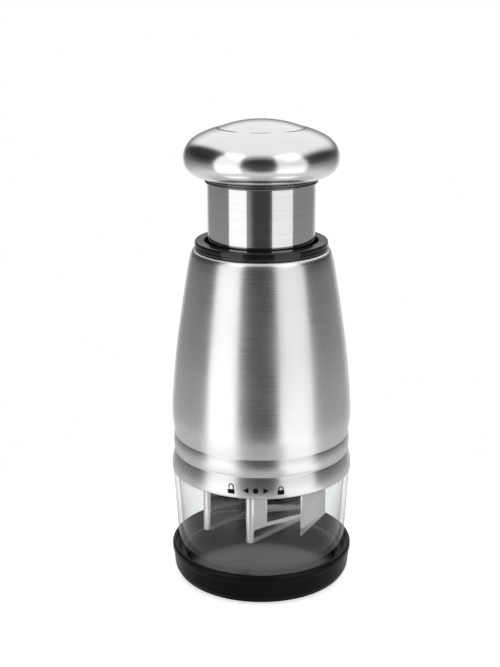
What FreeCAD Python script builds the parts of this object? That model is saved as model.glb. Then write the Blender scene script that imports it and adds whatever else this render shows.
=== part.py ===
import FreeCAD, Part
import Sketcher
import math
import os

# Plunger food chopper, all lengths in millimetres.
# +Z is up and the vertical centre line is the common axis of every turned piece.
# The origin is the middle of the face the base cup stands on, and -Y is the printed front.
# The pieces are drawn at rest: knob up, housing locked on the clear chamber.

doc = FreeCAD.newDocument("Chopper")
sheet = doc.addObject("Spreadsheet::Sheet", "Sizes")
row = [0]


class Size:
    """A length or angle with its value and the spreadsheet text that gives it."""

    def __init__(self, value, text):
        self.value = float(value)
        self.text = text

    def __add__(self, other):
        other = as_size(other)
        return Size(self.value + other.value, "(%s + %s)" % (self.text, other.text))

    def __radd__(self, other):
        return as_size(other) + self

    def __sub__(self, other):
        other = as_size(other)
        return Size(self.value - other.value, "(%s - %s)" % (self.text, other.text))

    def __rsub__(self, other):
        return as_size(other) - self

    def __mul__(self, other):
        other = as_size(other)
        return Size(self.value * other.value, "(%s * %s)" % (self.text, other.text))

    def __rmul__(self, other):
        return as_size(other) * self

    def __truediv__(self, other):
        other = as_size(other)
        return Size(self.value / other.value, "(%s / %s)" % (self.text, other.text))


def as_size(item):
    if isinstance(item, Size):
        return item
    return Size(item, repr(float(item)))


def size(name, value):
    """Enter one driving size in the sheet and hand back a handle to it."""
    row[0] += 1
    sheet.set("A%d" % row[0], name)
    sheet.set("B%d" % row[0], repr(float(value)))
    sheet.setAlias("B%d" % row[0], name)
    return Size(value, "Sizes." + name)


# Fits and clearances
running_gap = size("running_gap", 0.06)
free_gap = size("free_gap", 0.30)
rest_gap = size("rest_gap", 0.10)
neck_gap = size("neck_gap", 0.40)
shell_ease = size("shell_ease", 0.05)
landing_gap = size("landing_gap", 0.40)
blade_clearance = size("blade_clearance", 5.05)

# Clear chamber, whose shoulder radius sets the width of the cup and the housing
chamber_top_radius = size("chamber_top_radius", 45.3)
chamber_taper = size("chamber_taper", 2.95)
chamber_step = size("chamber_step", 4.1)
chamber_wall = size("chamber_wall", 2.4)
chamber_neck_wall = size("chamber_neck_wall", 2.0)
chamber_shoulder = size("chamber_shoulder", 57.3)
chamber_neck_length = size("chamber_neck_length", 10.7)
chamber_low_radius = chamber_top_radius - chamber_taper
chamber_neck_radius = chamber_top_radius - chamber_step
chamber_neck_top = chamber_shoulder + chamber_neck_length
lug_count = 3
lug_reach = size("lug_reach", 1.7)
lug_rise = size("lug_rise", 4.7)
lug_tall = size("lug_tall", 2.4)
lug_angle = size("lug_angle", 12.0)
lock_turn = size("lock_turn", 20.0)
lug_low = chamber_shoulder + lug_rise

# Base cup and chopping board
cup_gap_width = size("cup_gap_width", 2.15)
cup_rim_wall = size("cup_rim_wall", 2.0)
cup_rim_proud = size("cup_rim_proud", 0.55)
cup_lean = size("cup_lean", 1.2)
cup_foot_step = size("cup_foot_step", 5.2)
cup_recess_step = size("cup_recess_step", 5.1)
cup_ledge_width = size("cup_ledge_width", 3.75)
cup_low_height = size("cup_low_height", 4.6)
cup_rim_top = size("cup_rim_top", 16.8)
cup_rim_height = size("cup_rim_height", 3.6)
cup_groove_depth = size("cup_groove_depth", 2.4)
cup_ledge = size("cup_ledge", 8.0)
cup_floor = size("cup_floor", 1.9)
cup_recess_depth = size("cup_recess_depth", 0.6)
cup_rim_round = size("cup_rim_round", 1.5)
cup_foot_round = size("cup_foot_round", 1.6)
board_thickness = size("board_thickness", 1.3)
cup_groove_radius = chamber_low_radius + cup_gap_width
cup_rim_radius = cup_groove_radius + cup_rim_wall
cup_wall_radius = cup_rim_radius - cup_rim_proud
cup_low_radius = cup_rim_radius - cup_lean
cup_foot_radius = cup_low_radius - cup_foot_step
cup_recess_radius = cup_foot_radius - cup_recess_step
cup_well_radius = chamber_low_radius - cup_ledge_width
cup_rim_low = cup_rim_top - cup_rim_height
cup_groove_floor = cup_rim_top - cup_groove_depth

# Plunger tube and the parts that surround it
tube_radius = size("tube_radius", 26.3)
tube_wall = size("tube_wall", 0.8)
bush_reach = size("bush_reach", 3.9)
tower_wall = size("tower_wall", 1.9)
tower_inner = tube_radius + bush_reach
tower_outer = tower_inner + tower_wall

# Liner and inner frame
skirt_wall = size("skirt_wall", 1.7)
skirt_inner = chamber_neck_radius + neck_gap
liner_radius = skirt_inner + skirt_wall
skirt_low = chamber_shoulder + 2 * free_gap
ledge_rise = size("ledge_rise", 15.0)
ledge_width = size("ledge_width", 4.0)
ledge_thickness = size("ledge_thickness", 1.9)
ledge_low = chamber_shoulder + ledge_rise
ledge_inner = skirt_inner - ledge_width
deck_rise = size("deck_rise", 19.7)
deck_thickness = size("deck_thickness", 3.0)
deck_low = ledge_low + deck_rise
deck_top = deck_low + deck_thickness
deck_screw_inset = size("deck_screw_inset", 2.7)
deck_screw_circle = skirt_inner - deck_screw_inset
deck_screw_radius = size("deck_screw_radius", 1.5)
deck_screw_head = size("deck_screw_head", 2.8)
boss_radius = size("boss_radius", 3.2)
boss_tall = size("boss_tall", 14.0)
tower_tall = size("tower_tall", 75.4)
tower_top = deck_top + tower_tall

# Steel housing shell
steel_wall = size("steel_wall", 0.7)
band_proud = size("band_proud", 0.53)
low_groove_rise = size("low_groove_rise", 0.10)
ring_rise = size("ring_rise", 0.80)
belly_rise = size("belly_rise", 1.13)
band_tall = size("band_tall", 10.7)
ring_tall = size("ring_tall", 9.0)
belly_tall = size("belly_tall", 10.5)
shell_over_tower = size("shell_over_tower", 1.2)
shell_low = chamber_shoulder + free_gap
shell_top = tower_top + shell_over_tower
band_radius = chamber_top_radius + band_proud
waist_radius = liner_radius + shell_ease + steel_wall
low_groove_radius = waist_radius + low_groove_rise
ring_radius = waist_radius + ring_rise
belly_radius = waist_radius + belly_rise

# Collar, guide bush and buffer
collar_rise = size("collar_rise", 4.3)
collar_over_tower = size("collar_over_tower", 0.9)
collar_gap = size("collar_gap", 1.6)
collar_skirt_drop = size("collar_skirt_drop", 5.4)
collar_radius = tower_outer + collar_over_tower
collar_inner = tube_radius + collar_gap
collar_skirt_inner = collar_inner + free_gap
collar_low = shell_top + rest_gap
collar_top = collar_low + collar_rise
collar_skirt_low = collar_low - collar_skirt_drop
bush_tall = size("bush_tall", 16.0)
bush_flange = size("bush_flange", 4.0)
bush_wall = size("bush_wall", 2.0)
bush_top = collar_skirt_low - free_gap
bush_low = bush_top - bush_tall
buffer_thickness = size("buffer_thickness", 1.4)
bush_screw_radius = size("bush_screw_radius", 1.0)

# Plunger
stroke = size("stroke", 24.6)
tube_reach = size("tube_reach", 30.9)
tube_top = collar_top + tube_reach
plug_top = bush_low - buffer_thickness - rest_gap
plug_flange = size("plug_flange", 4.0)
plug_flange_gap = size("plug_flange_gap", 0.6)
plug_flange_radius = tower_inner - plug_flange_gap
plug_spigot = size("plug_spigot", 8.0)
plug_hub_radius = size("plug_hub_radius", 9.5)
plug_hub_tall = size("plug_hub_tall", 13.5)
plug_hub_top = plug_top + plug_hub_tall
rod_radius = size("rod_radius", 5.0)
rod_spigot_radius = size("rod_spigot_radius", 3.0)
rod_spigot_length = size("rod_spigot_length", 4.1)
rod_drop = size("rod_drop", 1.9)
rod_top = tube_top - rod_drop
cross_pin_radius = size("cross_pin_radius", 1.5)
knob_screw_radius = size("knob_screw_radius", 2.0)
knob_screw_head = size("knob_screw_head", 3.8)
knob_radius = size("knob_radius", 37.8)
knob_lap = size("knob_lap", 0.2)
knob_belly = size("knob_belly", 9.5)
knob_tall = size("knob_tall", 23.25)
knob_wall = size("knob_wall", 0.9)
knob_foot = tube_top - knob_lap
knob_equator = knob_foot + knob_belly
knob_rim = knob_foot + knob_tall
core_inset = size("core_inset", 3.2)
core_tall = size("core_tall", 12.1)
core_radius = knob_radius - core_inset
cap_radius = size("cap_radius", 21.0)
cap_rise = size("cap_rise", 3.75)
cap_proud = size("cap_proud", 0.4)
cap_wall = size("cap_wall", 0.8)
cap_edge = knob_rim + cap_proud
cap_crown = cap_edge + cap_rise
ring_bulge = size("ring_bulge", 1.25)
ring_bead = size("ring_bead", 2.3)
ring_gap = size("ring_gap", 0.4)
ring_top = tube_top - ring_gap
ring_low = ring_top - ring_bead

# Blade set
blade_thick = size("blade_thick", 0.8)
fold_bend = size("fold_bend", 1.95)
fold_axis_angle = size("fold_axis_angle", 55.0)
fold_step_angle = size("fold_step_angle", 49.8)
blade_end_out = size("blade_end_out", 0.1)
edge_bevel = size("edge_bevel", 0.28)
carrier_drop = size("carrier_drop", 7.4)
carrier_thick = size("carrier_thick", 4.0)
carrier_rim = size("carrier_rim", 0.65)
blade_grip = size("blade_grip", 2.4)
pocket_depth = size("pocket_depth", 5.3)
fold_circle = cup_well_radius - blade_clearance - fold_bend - blade_thick / 2
blade_end_radius = fold_circle + blade_end_out
carrier_radius = fold_circle + fold_bend + blade_thick / 2 + carrier_rim
carrier_low = deck_low - carrier_drop
blade_top = carrier_low + blade_grip
blade_low = cup_floor + board_thickness + landing_gap + stroke
rod_spigot_end = carrier_low + pocket_depth
rod_shoulder = rod_spigot_end + rod_spigot_length
sleeve_radius = size("sleeve_radius", 9.0)
sleeve_spare = size("sleeve_spare", 4.9)
stroke_turn = size("stroke_turn", 24.9)
groove_depth = size("groove_depth", 1.7)
guide_boss_wall = size("guide_boss_wall", 2.7)
guide_boss_tall = size("guide_boss_tall", 7.0)
guide_boss_radius = sleeve_radius + free_gap + guide_boss_wall
guide_pin_radius = size("guide_pin_radius", 1.2)
guide_pin_rise = size("guide_pin_rise", 3.5)
guide_pin_height = deck_top + guide_pin_rise
sleeve_top = guide_pin_height + stroke + sleeve_spare
washer_radius = size("washer_radius", 4.8)
washer_thick = size("washer_thick", 0.7)
blade_screw_radius = size("blade_screw_radius", 1.5)
blade_screw_head = size("blade_screw_head", 3.2)

# Wiper disc and snap ring
wiper_thick = size("wiper_thick", 2.4)
wiper_wall = size("wiper_wall", 1.5)
wiper_flange_thick = size("wiper_flange_thick", 1.5)
wiper_flange_gap = size("wiper_flange_gap", 0.6)
slot_gap = size("slot_gap", 0.5)
snap_ring_thick = size("snap_ring_thick", 1.6)
wiper_low = chamber_shoulder - free_gap
wiper_flange_low = ledge_low - free_gap - wiper_flange_thick
wiper_flange_radius = skirt_inner - wiper_flange_gap
snap_ring_low = wiper_flange_low - free_gap - snap_ring_thick

# Return spring
spring_wire = size("spring_wire", 0.8)
spring_gap = size("spring_gap", 0.8)
spring_radius = guide_boss_radius + spring_gap + spring_wire
spring_turns = 7.0

doc.recompute()


def plane_of(body, role):
    for item in body.Origin.OriginFeatures:
        if item.Role == role:
            return item
    raise ValueError(role)


def new_body(name):
    body = doc.addObject("PartDesign::Body", name)
    body.Label = name
    return body


def outline(body, name, corners, role="XZ_Plane"):
    """Closed outline whose corners are tied to the sheet, x across and y up."""
    sketch = body.newObject("Sketcher::SketchObject", name)
    sketch.AttachmentSupport = [(plane_of(body, role), "")]
    sketch.MapMode = "FlatFace"
    points = [(as_size(a), as_size(b)) for a, b in corners]
    count = len(points)
    for number in range(count):
        first = points[number]
        last = points[(number + 1) % count]
        sketch.addGeometry(Part.LineSegment(FreeCAD.Vector(first[0].value, first[1].value, 0),
                                            FreeCAD.Vector(last[0].value, last[1].value, 0)))
    for number in range(count):
        sketch.addConstraint(Sketcher.Constraint("Coincident", number, 2, (number + 1) % count, 1))
    for number in range(count):
        across, up = points[number]
        for kind, axis, item in (("DistanceX", -2, across), ("DistanceY", -1, up)):
            if abs(item.value) < 1e-9:
                sketch.addConstraint(Sketcher.Constraint("PointOnObject", number, 1, axis))
                continue
            index = sketch.addConstraint(
                Sketcher.Constraint(kind, -1, 1, number, 1, item.value))
            sketch.setExpression("Constraints[%d]" % index, item.text)
    return sketch


def turned(name, corners):
    """Body of revolution about the centre line from a closed half section."""
    body = new_body(name)
    sketch = outline(body, name + "_section", corners)
    turn = body.newObject("PartDesign::Revolution", name + "_turn")
    turn.Profile = sketch
    turn.ReferenceAxis = (sketch, ["V_Axis"])
    turn.Angle = 360.0
    body.Tip = turn
    doc.recompute()
    return body


def rings(shape, radius, height, slack=0.02):
    """Names of the round edges of one radius at one height."""
    radius = radius.value
    height = height.value
    found = []
    for number, edge in enumerate(shape.Edges):
        curve = edge.Curve
        if not hasattr(curve, "Radius"):
            continue
        if abs(curve.Radius - radius) < slack and abs(curve.Center.z - height) < slack:
            found.append("Edge%d" % (number + 1))
    if not found:
        raise ValueError("no round edge of radius %.3f at height %.3f" % (radius, height))
    return found


def rounded(body, edges, radius, name):
    """Round the listed edges of a body."""
    base = body.Tip
    feature = body.newObject("PartDesign::Fillet", name)
    feature.Base = (base, edges)
    feature.Radius = as_size(radius).value
    feature.setExpression("Radius", as_size(radius).text)
    body.Tip = feature
    doc.recompute()
    return body


def drilled(body, name, centres, radius, low, high):
    """Round holes along Z from one height to another at each listed centre."""
    sketch = body.newObject("Sketcher::SketchObject", name + "_marks")
    sketch.AttachmentSupport = [(plane_of(body, "XY_Plane"), "")]
    sketch.MapMode = "FlatFace"
    sketch.AttachmentOffset = FreeCAD.Placement(FreeCAD.Vector(0, 0, low.value), FreeCAD.Rotation())
    sketch.setExpression("AttachmentOffset.Base.z", low.text)
    for x, y in centres:
        circle = Part.Circle(FreeCAD.Vector(x, y, 0), FreeCAD.Vector(0, 0, 1), radius.value)
        number = sketch.addGeometry(circle)
        index = sketch.addConstraint(Sketcher.Constraint("Radius", number, radius.value))
        sketch.setExpression("Constraints[%d]" % index, radius.text)
        sketch.addConstraint(Sketcher.Constraint("DistanceX", -1, 1, number, 3, x))
        sketch.addConstraint(Sketcher.Constraint("DistanceY", -1, 1, number, 3, y))
    doc.recompute()
    before = body.Shape.Volume
    pocket = body.newObject("PartDesign::Pocket", name)
    pocket.Profile = sketch
    pocket.setExpression("Length", (high - low).text)
    pocket.Reversed = True
    body.Tip = pocket
    doc.recompute()
    if not body.Shape.Volume < before - 1e-6:
        raise ValueError("no hole cut by " + name)
    return body


def added(body, name, centres, radius, low, high):
    """Round bosses along Z from one height to another at each listed centre."""
    sketch = body.newObject("Sketcher::SketchObject", name + "_marks")
    sketch.AttachmentSupport = [(plane_of(body, "XY_Plane"), "")]
    sketch.MapMode = "FlatFace"
    sketch.AttachmentOffset = FreeCAD.Placement(FreeCAD.Vector(0, 0, low.value), FreeCAD.Rotation())
    sketch.setExpression("AttachmentOffset.Base.z", low.text)
    for x, y in centres:
        circle = Part.Circle(FreeCAD.Vector(x, y, 0), FreeCAD.Vector(0, 0, 1), radius.value)
        number = sketch.addGeometry(circle)
        index = sketch.addConstraint(Sketcher.Constraint("Radius", number, radius.value))
        sketch.setExpression("Constraints[%d]" % index, radius.text)
        sketch.addConstraint(Sketcher.Constraint("DistanceX", -1, 1, number, 3, x))
        sketch.addConstraint(Sketcher.Constraint("DistanceY", -1, 1, number, 3, y))
    doc.recompute()
    pad = body.newObject("PartDesign::Pad", name)
    pad.Profile = sketch
    pad.setExpression("Length", (high - low).text)
    body.Tip = pad
    doc.recompute()
    return body


def ring_centres(radius, count, first):
    """Points spaced evenly on a circle round the centre line."""
    return [(radius.value * math.cos(math.radians(first + 360.0 * k / count)),
             radius.value * math.sin(math.radians(first + 360.0 * k / count)))
            for k in range(count)]


def sector(name, inner, outer, low, tall, start, sweep):
    """Part of a ring, between two radii, two heights and two angles."""
    big = doc.addObject("Part::Cylinder", name + "_outer")
    big.setExpression("Radius", as_size(outer).text)
    big.setExpression("Height", as_size(tall).text)
    big.setExpression("Angle", as_size(sweep).text)
    core = doc.addObject("Part::Cylinder", name + "_inner")
    core.setExpression("Radius", as_size(inner).text)
    core.setExpression("Height", as_size(tall).text)
    cut = doc.addObject("Part::Cut", name)
    cut.Base = big
    cut.Tool = core
    cut.Placement = FreeCAD.Placement(FreeCAD.Vector(0, 0, as_size(low).value),
                                      FreeCAD.Rotation(FreeCAD.Vector(0, 0, 1), start))
    cut.setExpression("Placement.Base.z", as_size(low).text)
    return cut


def joined(name, first, others):
    fuse = doc.addObject("Part::MultiFuse", name)
    fuse.Shapes = [first] + list(others)
    fuse.Label = name
    return fuse


def trimmed(name, base, tools):
    """The base without the tools, as one named piece."""
    if len(tools) > 1:
        tool = doc.addObject("Part::MultiFuse", name + "_tools")
        tool.Shapes = list(tools)
    else:
        tool = tools[0]
    cut = doc.addObject("Part::Cut", name)
    cut.Base = base
    cut.Tool = tool
    cut.Label = name
    return cut


def rod_along(name, radius, start, end):
    """Plain round bar between two points."""
    first = FreeCAD.Vector(*start)
    reach = FreeCAD.Vector(*end) - first
    bar = doc.addObject("Part::Cylinder", name)
    bar.setExpression("Radius", as_size(radius).text)
    bar.Height = reach.Length
    bar.Placement = FreeCAD.Placement(first, FreeCAD.Rotation(FreeCAD.Vector(0, 0, 1), reach))
    return bar


def along(aim, reach, height):
    """The point some way out from the centre line in one direction, at one height."""
    return (aim[0] * reach.value, aim[1] * reach.value, height.value)


def shifted(points, reach):
    """The same curve moved sideways, to its left when reach is positive."""
    moved = []
    for number, point in enumerate(points):
        before = points[max(number - 1, 0)]
        after = points[min(number + 1, len(points) - 1)]
        run = (after[0] - before[0], after[1] - before[1])
        span = math.hypot(*run)
        moved.append((point[0] - run[1] / span * reach, point[1] + run[0] / span * reach))
    return moved


def curve_through(points):
    spline = Part.BSplineCurve()
    spline.interpolate([FreeCAD.Vector(r, 0, z) for r, z in points])
    return spline.toShape()


def pressed_sheet(name, runs, thickness):
    """Thin turned metal: smooth outer runs and the same runs moved in by the wall."""
    outer = [curve_through(run) for run in runs]
    inside = [shifted(run, thickness) for run in runs]
    for number in range(len(inside) - 1):
        a = inside[number][-1]
        b = inside[number + 1][0]
        middle = ((a[0] + b[0]) / 2, (a[1] + b[1]) / 2)
        inside[number][-1] = middle
        inside[number + 1][0] = middle
    inner = [curve_through(run) for run in inside]
    start = Part.LineSegment(FreeCAD.Vector(runs[0][0][0], 0, runs[0][0][1]),
                             FreeCAD.Vector(inside[0][0][0], 0, inside[0][0][1])).toShape()
    end = Part.LineSegment(FreeCAD.Vector(runs[-1][-1][0], 0, runs[-1][-1][1]),
                           FreeCAD.Vector(inside[-1][-1][0], 0, inside[-1][-1][1])).toShape()
    edges = outer + inner + [start]
    if (end.Length > 1e-6):
        edges.append(end)
    wire = Part.Wire(Part.__sortEdges__(edges))
    section = doc.addObject("Part::Feature", name + "_section")
    section.Shape = Part.Face(wire)
    turn = doc.addObject("Part::Revolution", name)
    turn.Source = section
    turn.Axis = FreeCAD.Vector(0, 0, 1)
    turn.Base = FreeCAD.Vector(0, 0, 0)
    turn.Angle = 360.0
    turn.Solid = True
    turn.Label = name
    doc.recompute()
    return turn


kept = []


def keep(item):
    kept.append(item)
    return item


# Base cup: the black cup that the chopper stands in
chamber_slope = (chamber_top_radius - chamber_low_radius) / (chamber_shoulder - cup_ledge)


def chamber_outer(height):
    """Outer radius of the tapered chamber at one height."""
    return chamber_low_radius + chamber_slope * (height - cup_ledge)


cup = turned("base_cup", [
    (0, cup_recess_depth),
    (cup_recess_radius, cup_recess_depth),
    (cup_recess_radius + cup_recess_depth, 0),
    (cup_foot_radius, 0),
    (cup_low_radius - cup_foot_round, cup_low_height / 3),
    (cup_low_radius, cup_low_height),
    (cup_wall_radius, cup_rim_low - 0.5),
    (cup_rim_radius, cup_rim_low),
    (cup_rim_radius, cup_rim_top),
    (cup_groove_radius, cup_rim_top),
    (cup_groove_radius, cup_groove_floor),
    (chamber_outer(cup_groove_floor) + free_gap, cup_groove_floor),
    (chamber_low_radius + free_gap, cup_ledge),
    (cup_well_radius, cup_ledge),
    (cup_well_radius, cup_floor),
    (0, cup_floor),
])
rounded(cup, rings(cup.Shape, cup_rim_radius, cup_rim_top), cup_rim_round, "rim_round")
foot_edges = (rings(cup.Shape, cup_low_radius, cup_low_height)
              + rings(cup.Shape, cup_low_radius - cup_foot_round, cup_low_height / 3))
rounded(cup, foot_edges, cup_foot_round, "foot_round")
rounded(cup, rings(cup.Shape, cup_groove_radius, cup_rim_top), 0.4, "cup_lip_round")
keep(cup)

# Chopping board: the loose flat disc that the blades land on
board = turned("chopping_board", [
    (0, cup_floor),
    (cup_well_radius - free_gap, cup_floor),
    (cup_well_radius - free_gap, cup_floor + board_thickness),
    (0, cup_floor + board_thickness),
])
board_edge = rings(board.Shape, cup_well_radius - free_gap, cup_floor + board_thickness)
rounded(board, board_edge, 0.4, "board_edge_round")
keep(board)

# Clear chamber: tapered tube with a narrower neck that carries three locking lugs
neck_inner = chamber_neck_radius - chamber_neck_wall
chamber_body = turned("chamber_body", [
    (chamber_low_radius - chamber_wall, cup_ledge + rest_gap),
    (chamber_low_radius, cup_ledge + rest_gap),
    (chamber_top_radius, chamber_shoulder),
    (chamber_neck_radius, chamber_shoulder),
    (chamber_neck_radius, chamber_neck_top),
    (neck_inner, chamber_neck_top),
    (neck_inner, chamber_shoulder - 1.0),
    (chamber_outer(chamber_shoulder - 4.5) - chamber_wall, chamber_shoulder - 4.5),
])
shoulder_edge = rings(chamber_body.Shape, chamber_top_radius, chamber_shoulder)
rounded(chamber_body, shoulder_edge, 0.5, "shoulder_round")
lugs = []
for k in range(lug_count):
    lugs.append(sector("lug_%d" % (k + 1), chamber_neck_radius - 0.8, chamber_neck_radius + lug_reach,
                       lug_low, lug_tall, 90.0 + 120.0 * k - lug_angle.value / 2, lug_angle))
chamber = joined("chamber", chamber_body, lugs)
keep(chamber)

# Steel housing shell: lower band, rolled ring and vase-shaped body pressed from one sheet
def between(low, high, share):
    """The size that lies a share of the way from one size to another, as a number."""
    return low.value + (high.value - low.value) * share


def run_of(radii, heights, shares):
    """Corners of a section, given as shares between two radii and two heights."""
    return [(between(radii[0], radii[1], across), between(heights[0], heights[1], up))
            for across, up in shares]


low_groove = shell_low + band_tall
high_groove = low_groove + ring_tall
belly = high_groove + belly_tall
neck_radius = tower_outer + 3.2
band_run = run_of((low_groove_radius, band_radius), (shell_low, low_groove), [
    (0.625, 0), (0.910714, 0.037383), (1, 0.149533), (0.982143, 0.336449), (0.803571, 0.560748),
    (0.517857, 0.747664), (0.238095, 0.897196), (0, 1)])
ring_run = run_of((low_groove_radius, ring_radius), (low_groove, high_groove), [
    (0, 0), (0.428571, 0.111111), (0.814286, 0.266667), (1, 0.477778)])
ring_run += run_of((waist_radius, ring_radius), (low_groove, high_groove), [
    (0.875, 0.688889), (0.5, 0.866667), (0, 1)])
body_run = run_of((waist_radius, belly_radius), (high_groove, belly), [
    (0, 0), (0.176991, 0.123810), (0.415929, 0.295238), (0.734513, 0.561905), (1, 1)])
body_run += run_of((neck_radius, belly_radius), (belly, shell_top - 4.6), [
    (0.979757, 0.071970), (0.936235, 0.151515), (0.880567, 0.236111), (0.814777, 0.324495),
    (0.738866, 0.412879), (0.647773, 0.501263), (0.541498, 0.589646), (0.430162, 0.681818),
    (0.318826, 0.772727), (0.202429, 0.861111), (0.091093, 0.943182), (0, 1)])
for out, down in ((2.65, 2.4), (2.0, 0.9), (1.1, 0.1), (0.2, 0.0)):
    body_run.append((tower_outer.value + out, shell_top.value - down))
shell = pressed_sheet("housing_shell", [band_run, ring_run, body_run], steel_wall.value)
keep(shell)

# Liner: black moulding inside the steel that takes the chamber's lugs and holds the wiper disc
liner_body = turned("liner_body", [
    (skirt_inner, skirt_low),
    (liner_radius, skirt_low),
    (liner_radius, deck_low),
    (skirt_inner, deck_low),
    (skirt_inner, ledge_low + ledge_thickness),
    (ledge_inner, ledge_low + ledge_thickness),
    (ledge_inner, ledge_low),
    (skirt_inner, ledge_low),
    (skirt_inner, snap_ring_low + snap_ring_thick + 0.1),
    (skirt_inner + 0.7, snap_ring_low + snap_ring_thick + 0.1),
    (skirt_inner + 0.7, snap_ring_low - 0.1),
    (skirt_inner, snap_ring_low - 0.1),
])
screw_marks = ring_centres(deck_screw_circle, 3, 30.0)
added(liner_body, "screw_bosses", screw_marks, boss_radius, deck_low - boss_tall, deck_low)
drilled(liner_body, "screw_bores", screw_marks, deck_screw_radius, deck_low - 9.0, deck_low)
slots = []
for k in range(lug_count):
    locked = 90.0 + 120.0 * k
    slack = 1.0
    slots.append(sector("run_slot_%d" % (k + 1), skirt_inner - 0.5, liner_radius + 0.5,
                        lug_low - free_gap, lug_tall + 2 * free_gap,
                        locked - lug_angle.value / 2 - slack,
                        lug_angle + lock_turn + 2 * slack))
    slots.append(sector("entry_slot_%d" % (k + 1), skirt_inner - 0.5, liner_radius + 0.5,
                        skirt_low - 1.0, lug_low - skirt_low + 2.0,
                        locked + lock_turn.value - lug_angle.value / 2 - slack,
                        lug_angle + 2 * slack))
liner = trimmed("housing_liner", liner_body, slots)
keep(liner)

# Inner frame: deck that the spring stands on, with the tower that holds the guide bush
frame_body = turned("frame_body", [
    (sleeve_radius + free_gap, deck_low),
    (liner_radius, deck_low),
    (liner_radius, deck_top),
    (tower_outer, deck_top),
    (tower_outer, tower_top),
    (tower_inner, tower_top),
    (tower_inner, deck_top),
    (guide_boss_radius, deck_top),
    (guide_boss_radius, deck_top + guide_boss_tall),
    (sleeve_radius + free_gap, deck_top + guide_boss_tall),
])
drilled(frame_body, "deck_bores", screw_marks, deck_screw_radius + 0.2, deck_low - 1.0, deck_top + 1.0)
pin_bores = []
for k in range(2):
    side = 1.0 if k == 0 else -1.0
    pin_bores.append(rod_along("pin_bore_%d" % (k + 1), guide_pin_radius,
                               (side * (sleeve_radius.value - 0.2), 0, guide_pin_height.value),
                               (side * (guide_boss_radius.value + 0.5), 0,
                                guide_pin_height.value)))
screw_bores = []
bush_screw_height = bush_low + bush_flange / 2
for k in range(3):
    turn_to = math.radians(90.0 + 120.0 * k)
    aim = (math.cos(turn_to), math.sin(turn_to))
    screw_bores.append(rod_along("bush_bore_%d" % (k + 1), bush_screw_radius,
                                 along(aim, tower_inner - 1.2, bush_screw_height),
                                 along(aim, tower_outer + 0.9, bush_screw_height)))
frame = trimmed("inner_frame", frame_body, pin_bores + screw_bores)
keep(frame)


def screw(name, marks, shank, head, head_low, head_tall, tip, slot_wide):
    """Group of equal pan-head screws standing along Z, each with a cross recess."""
    screws = []
    for number, (x, y) in enumerate(marks):
        stem = doc.addObject("Part::Cylinder", "%s_stem_%d" % (name, number + 1))
        stem.setExpression("Radius", shank.text)
        stem.setExpression("Height", (head_low - tip).text)
        stem.Placement = FreeCAD.Placement(FreeCAD.Vector(x, y, tip.value), FreeCAD.Rotation())
        stem.setExpression("Placement.Base.z", tip.text)
        top = doc.addObject("Part::Cylinder", "%s_head_%d" % (name, number + 1))
        top.setExpression("Radius", head.text)
        top.Height = head_tall
        top.Placement = FreeCAD.Placement(FreeCAD.Vector(x, y, head_low.value), FreeCAD.Rotation())
        top.setExpression("Placement.Base.z", head_low.text)
        whole = doc.addObject("Part::MultiFuse", "%s_blank_%d" % (name, number + 1))
        whole.Shapes = [stem, top]
        bars = []
        for turn_to in (0.0, 90.0):
            bar = doc.addObject("Part::Box", "%s_recess" % name)
            bar.Length = head.value * 1.2
            bar.Width = slot_wide
            bar.Height = head_tall
            bar.Placement = FreeCAD.Placement(
                FreeCAD.Vector(x, y, head_low.value + head_tall * 0.45),
                FreeCAD.Rotation(FreeCAD.Vector(0, 0, 1), turn_to),
                FreeCAD.Vector(0, 0, 0)).multiply(FreeCAD.Placement(
                    FreeCAD.Vector(-head.value * 0.6, -slot_wide / 2, 0), FreeCAD.Rotation()))
            bars.append(bar)
        screws.append(trimmed("%s_%d" % (name, number + 1), whole, bars))
    if len(screws) == 1:
        screws[0].Label = name
        return screws[0]
    group = doc.addObject("Part::Compound", name)
    group.Links = screws
    group.Label = name
    return group


# Deck screws: hold the inner frame down on the liner
deck_screws = screw("deck_screws", screw_marks, deck_screw_radius, deck_screw_head,
                    deck_top, 2.0, deck_low - 8.5, 0.7)
keep(deck_screws)

# Guide pins: two steel pins in the deck's boss that run in the carrier's slanting grooves
pins = []
for k in range(2):
    side = 1.0 if k == 0 else -1.0
    pins.append(rod_along("guide_pin_%d" % (k + 1), guide_pin_radius,
                          (side * (sleeve_radius - groove_depth + 0.4).value, 0, guide_pin_height.value),
                          (side * guide_boss_radius.value, 0, guide_pin_height.value)))
guide_pins = doc.addObject("Part::Compound", "guide_pins")
guide_pins.Links = pins
guide_pins.Label = "guide_pins"
keep(guide_pins)

# Collar ring: the glossy black ring on top of the steel, round the plunger tube
collar = turned("collar_ring", [
    (collar_skirt_inner, collar_skirt_low),
    (tower_inner - running_gap, collar_skirt_low),
    (tower_inner - running_gap, collar_low),
    (collar_radius - 0.2, collar_low),
    (collar_radius, collar_low + 1.2),
    (collar_radius - 0.25, collar_low + 1.5),
    (collar_radius - 0.25, collar_top),
    (collar_inner + 0.4, collar_top),
    (collar_inner, collar_top - 0.4),
    (collar_inner, collar_low),
    (collar_skirt_inner, collar_low - 0.3),
])
rounded(collar, rings(collar.Shape, collar_radius - 0.25, collar_top), 0.6, "collar_edge_round")
keep(collar)

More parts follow.
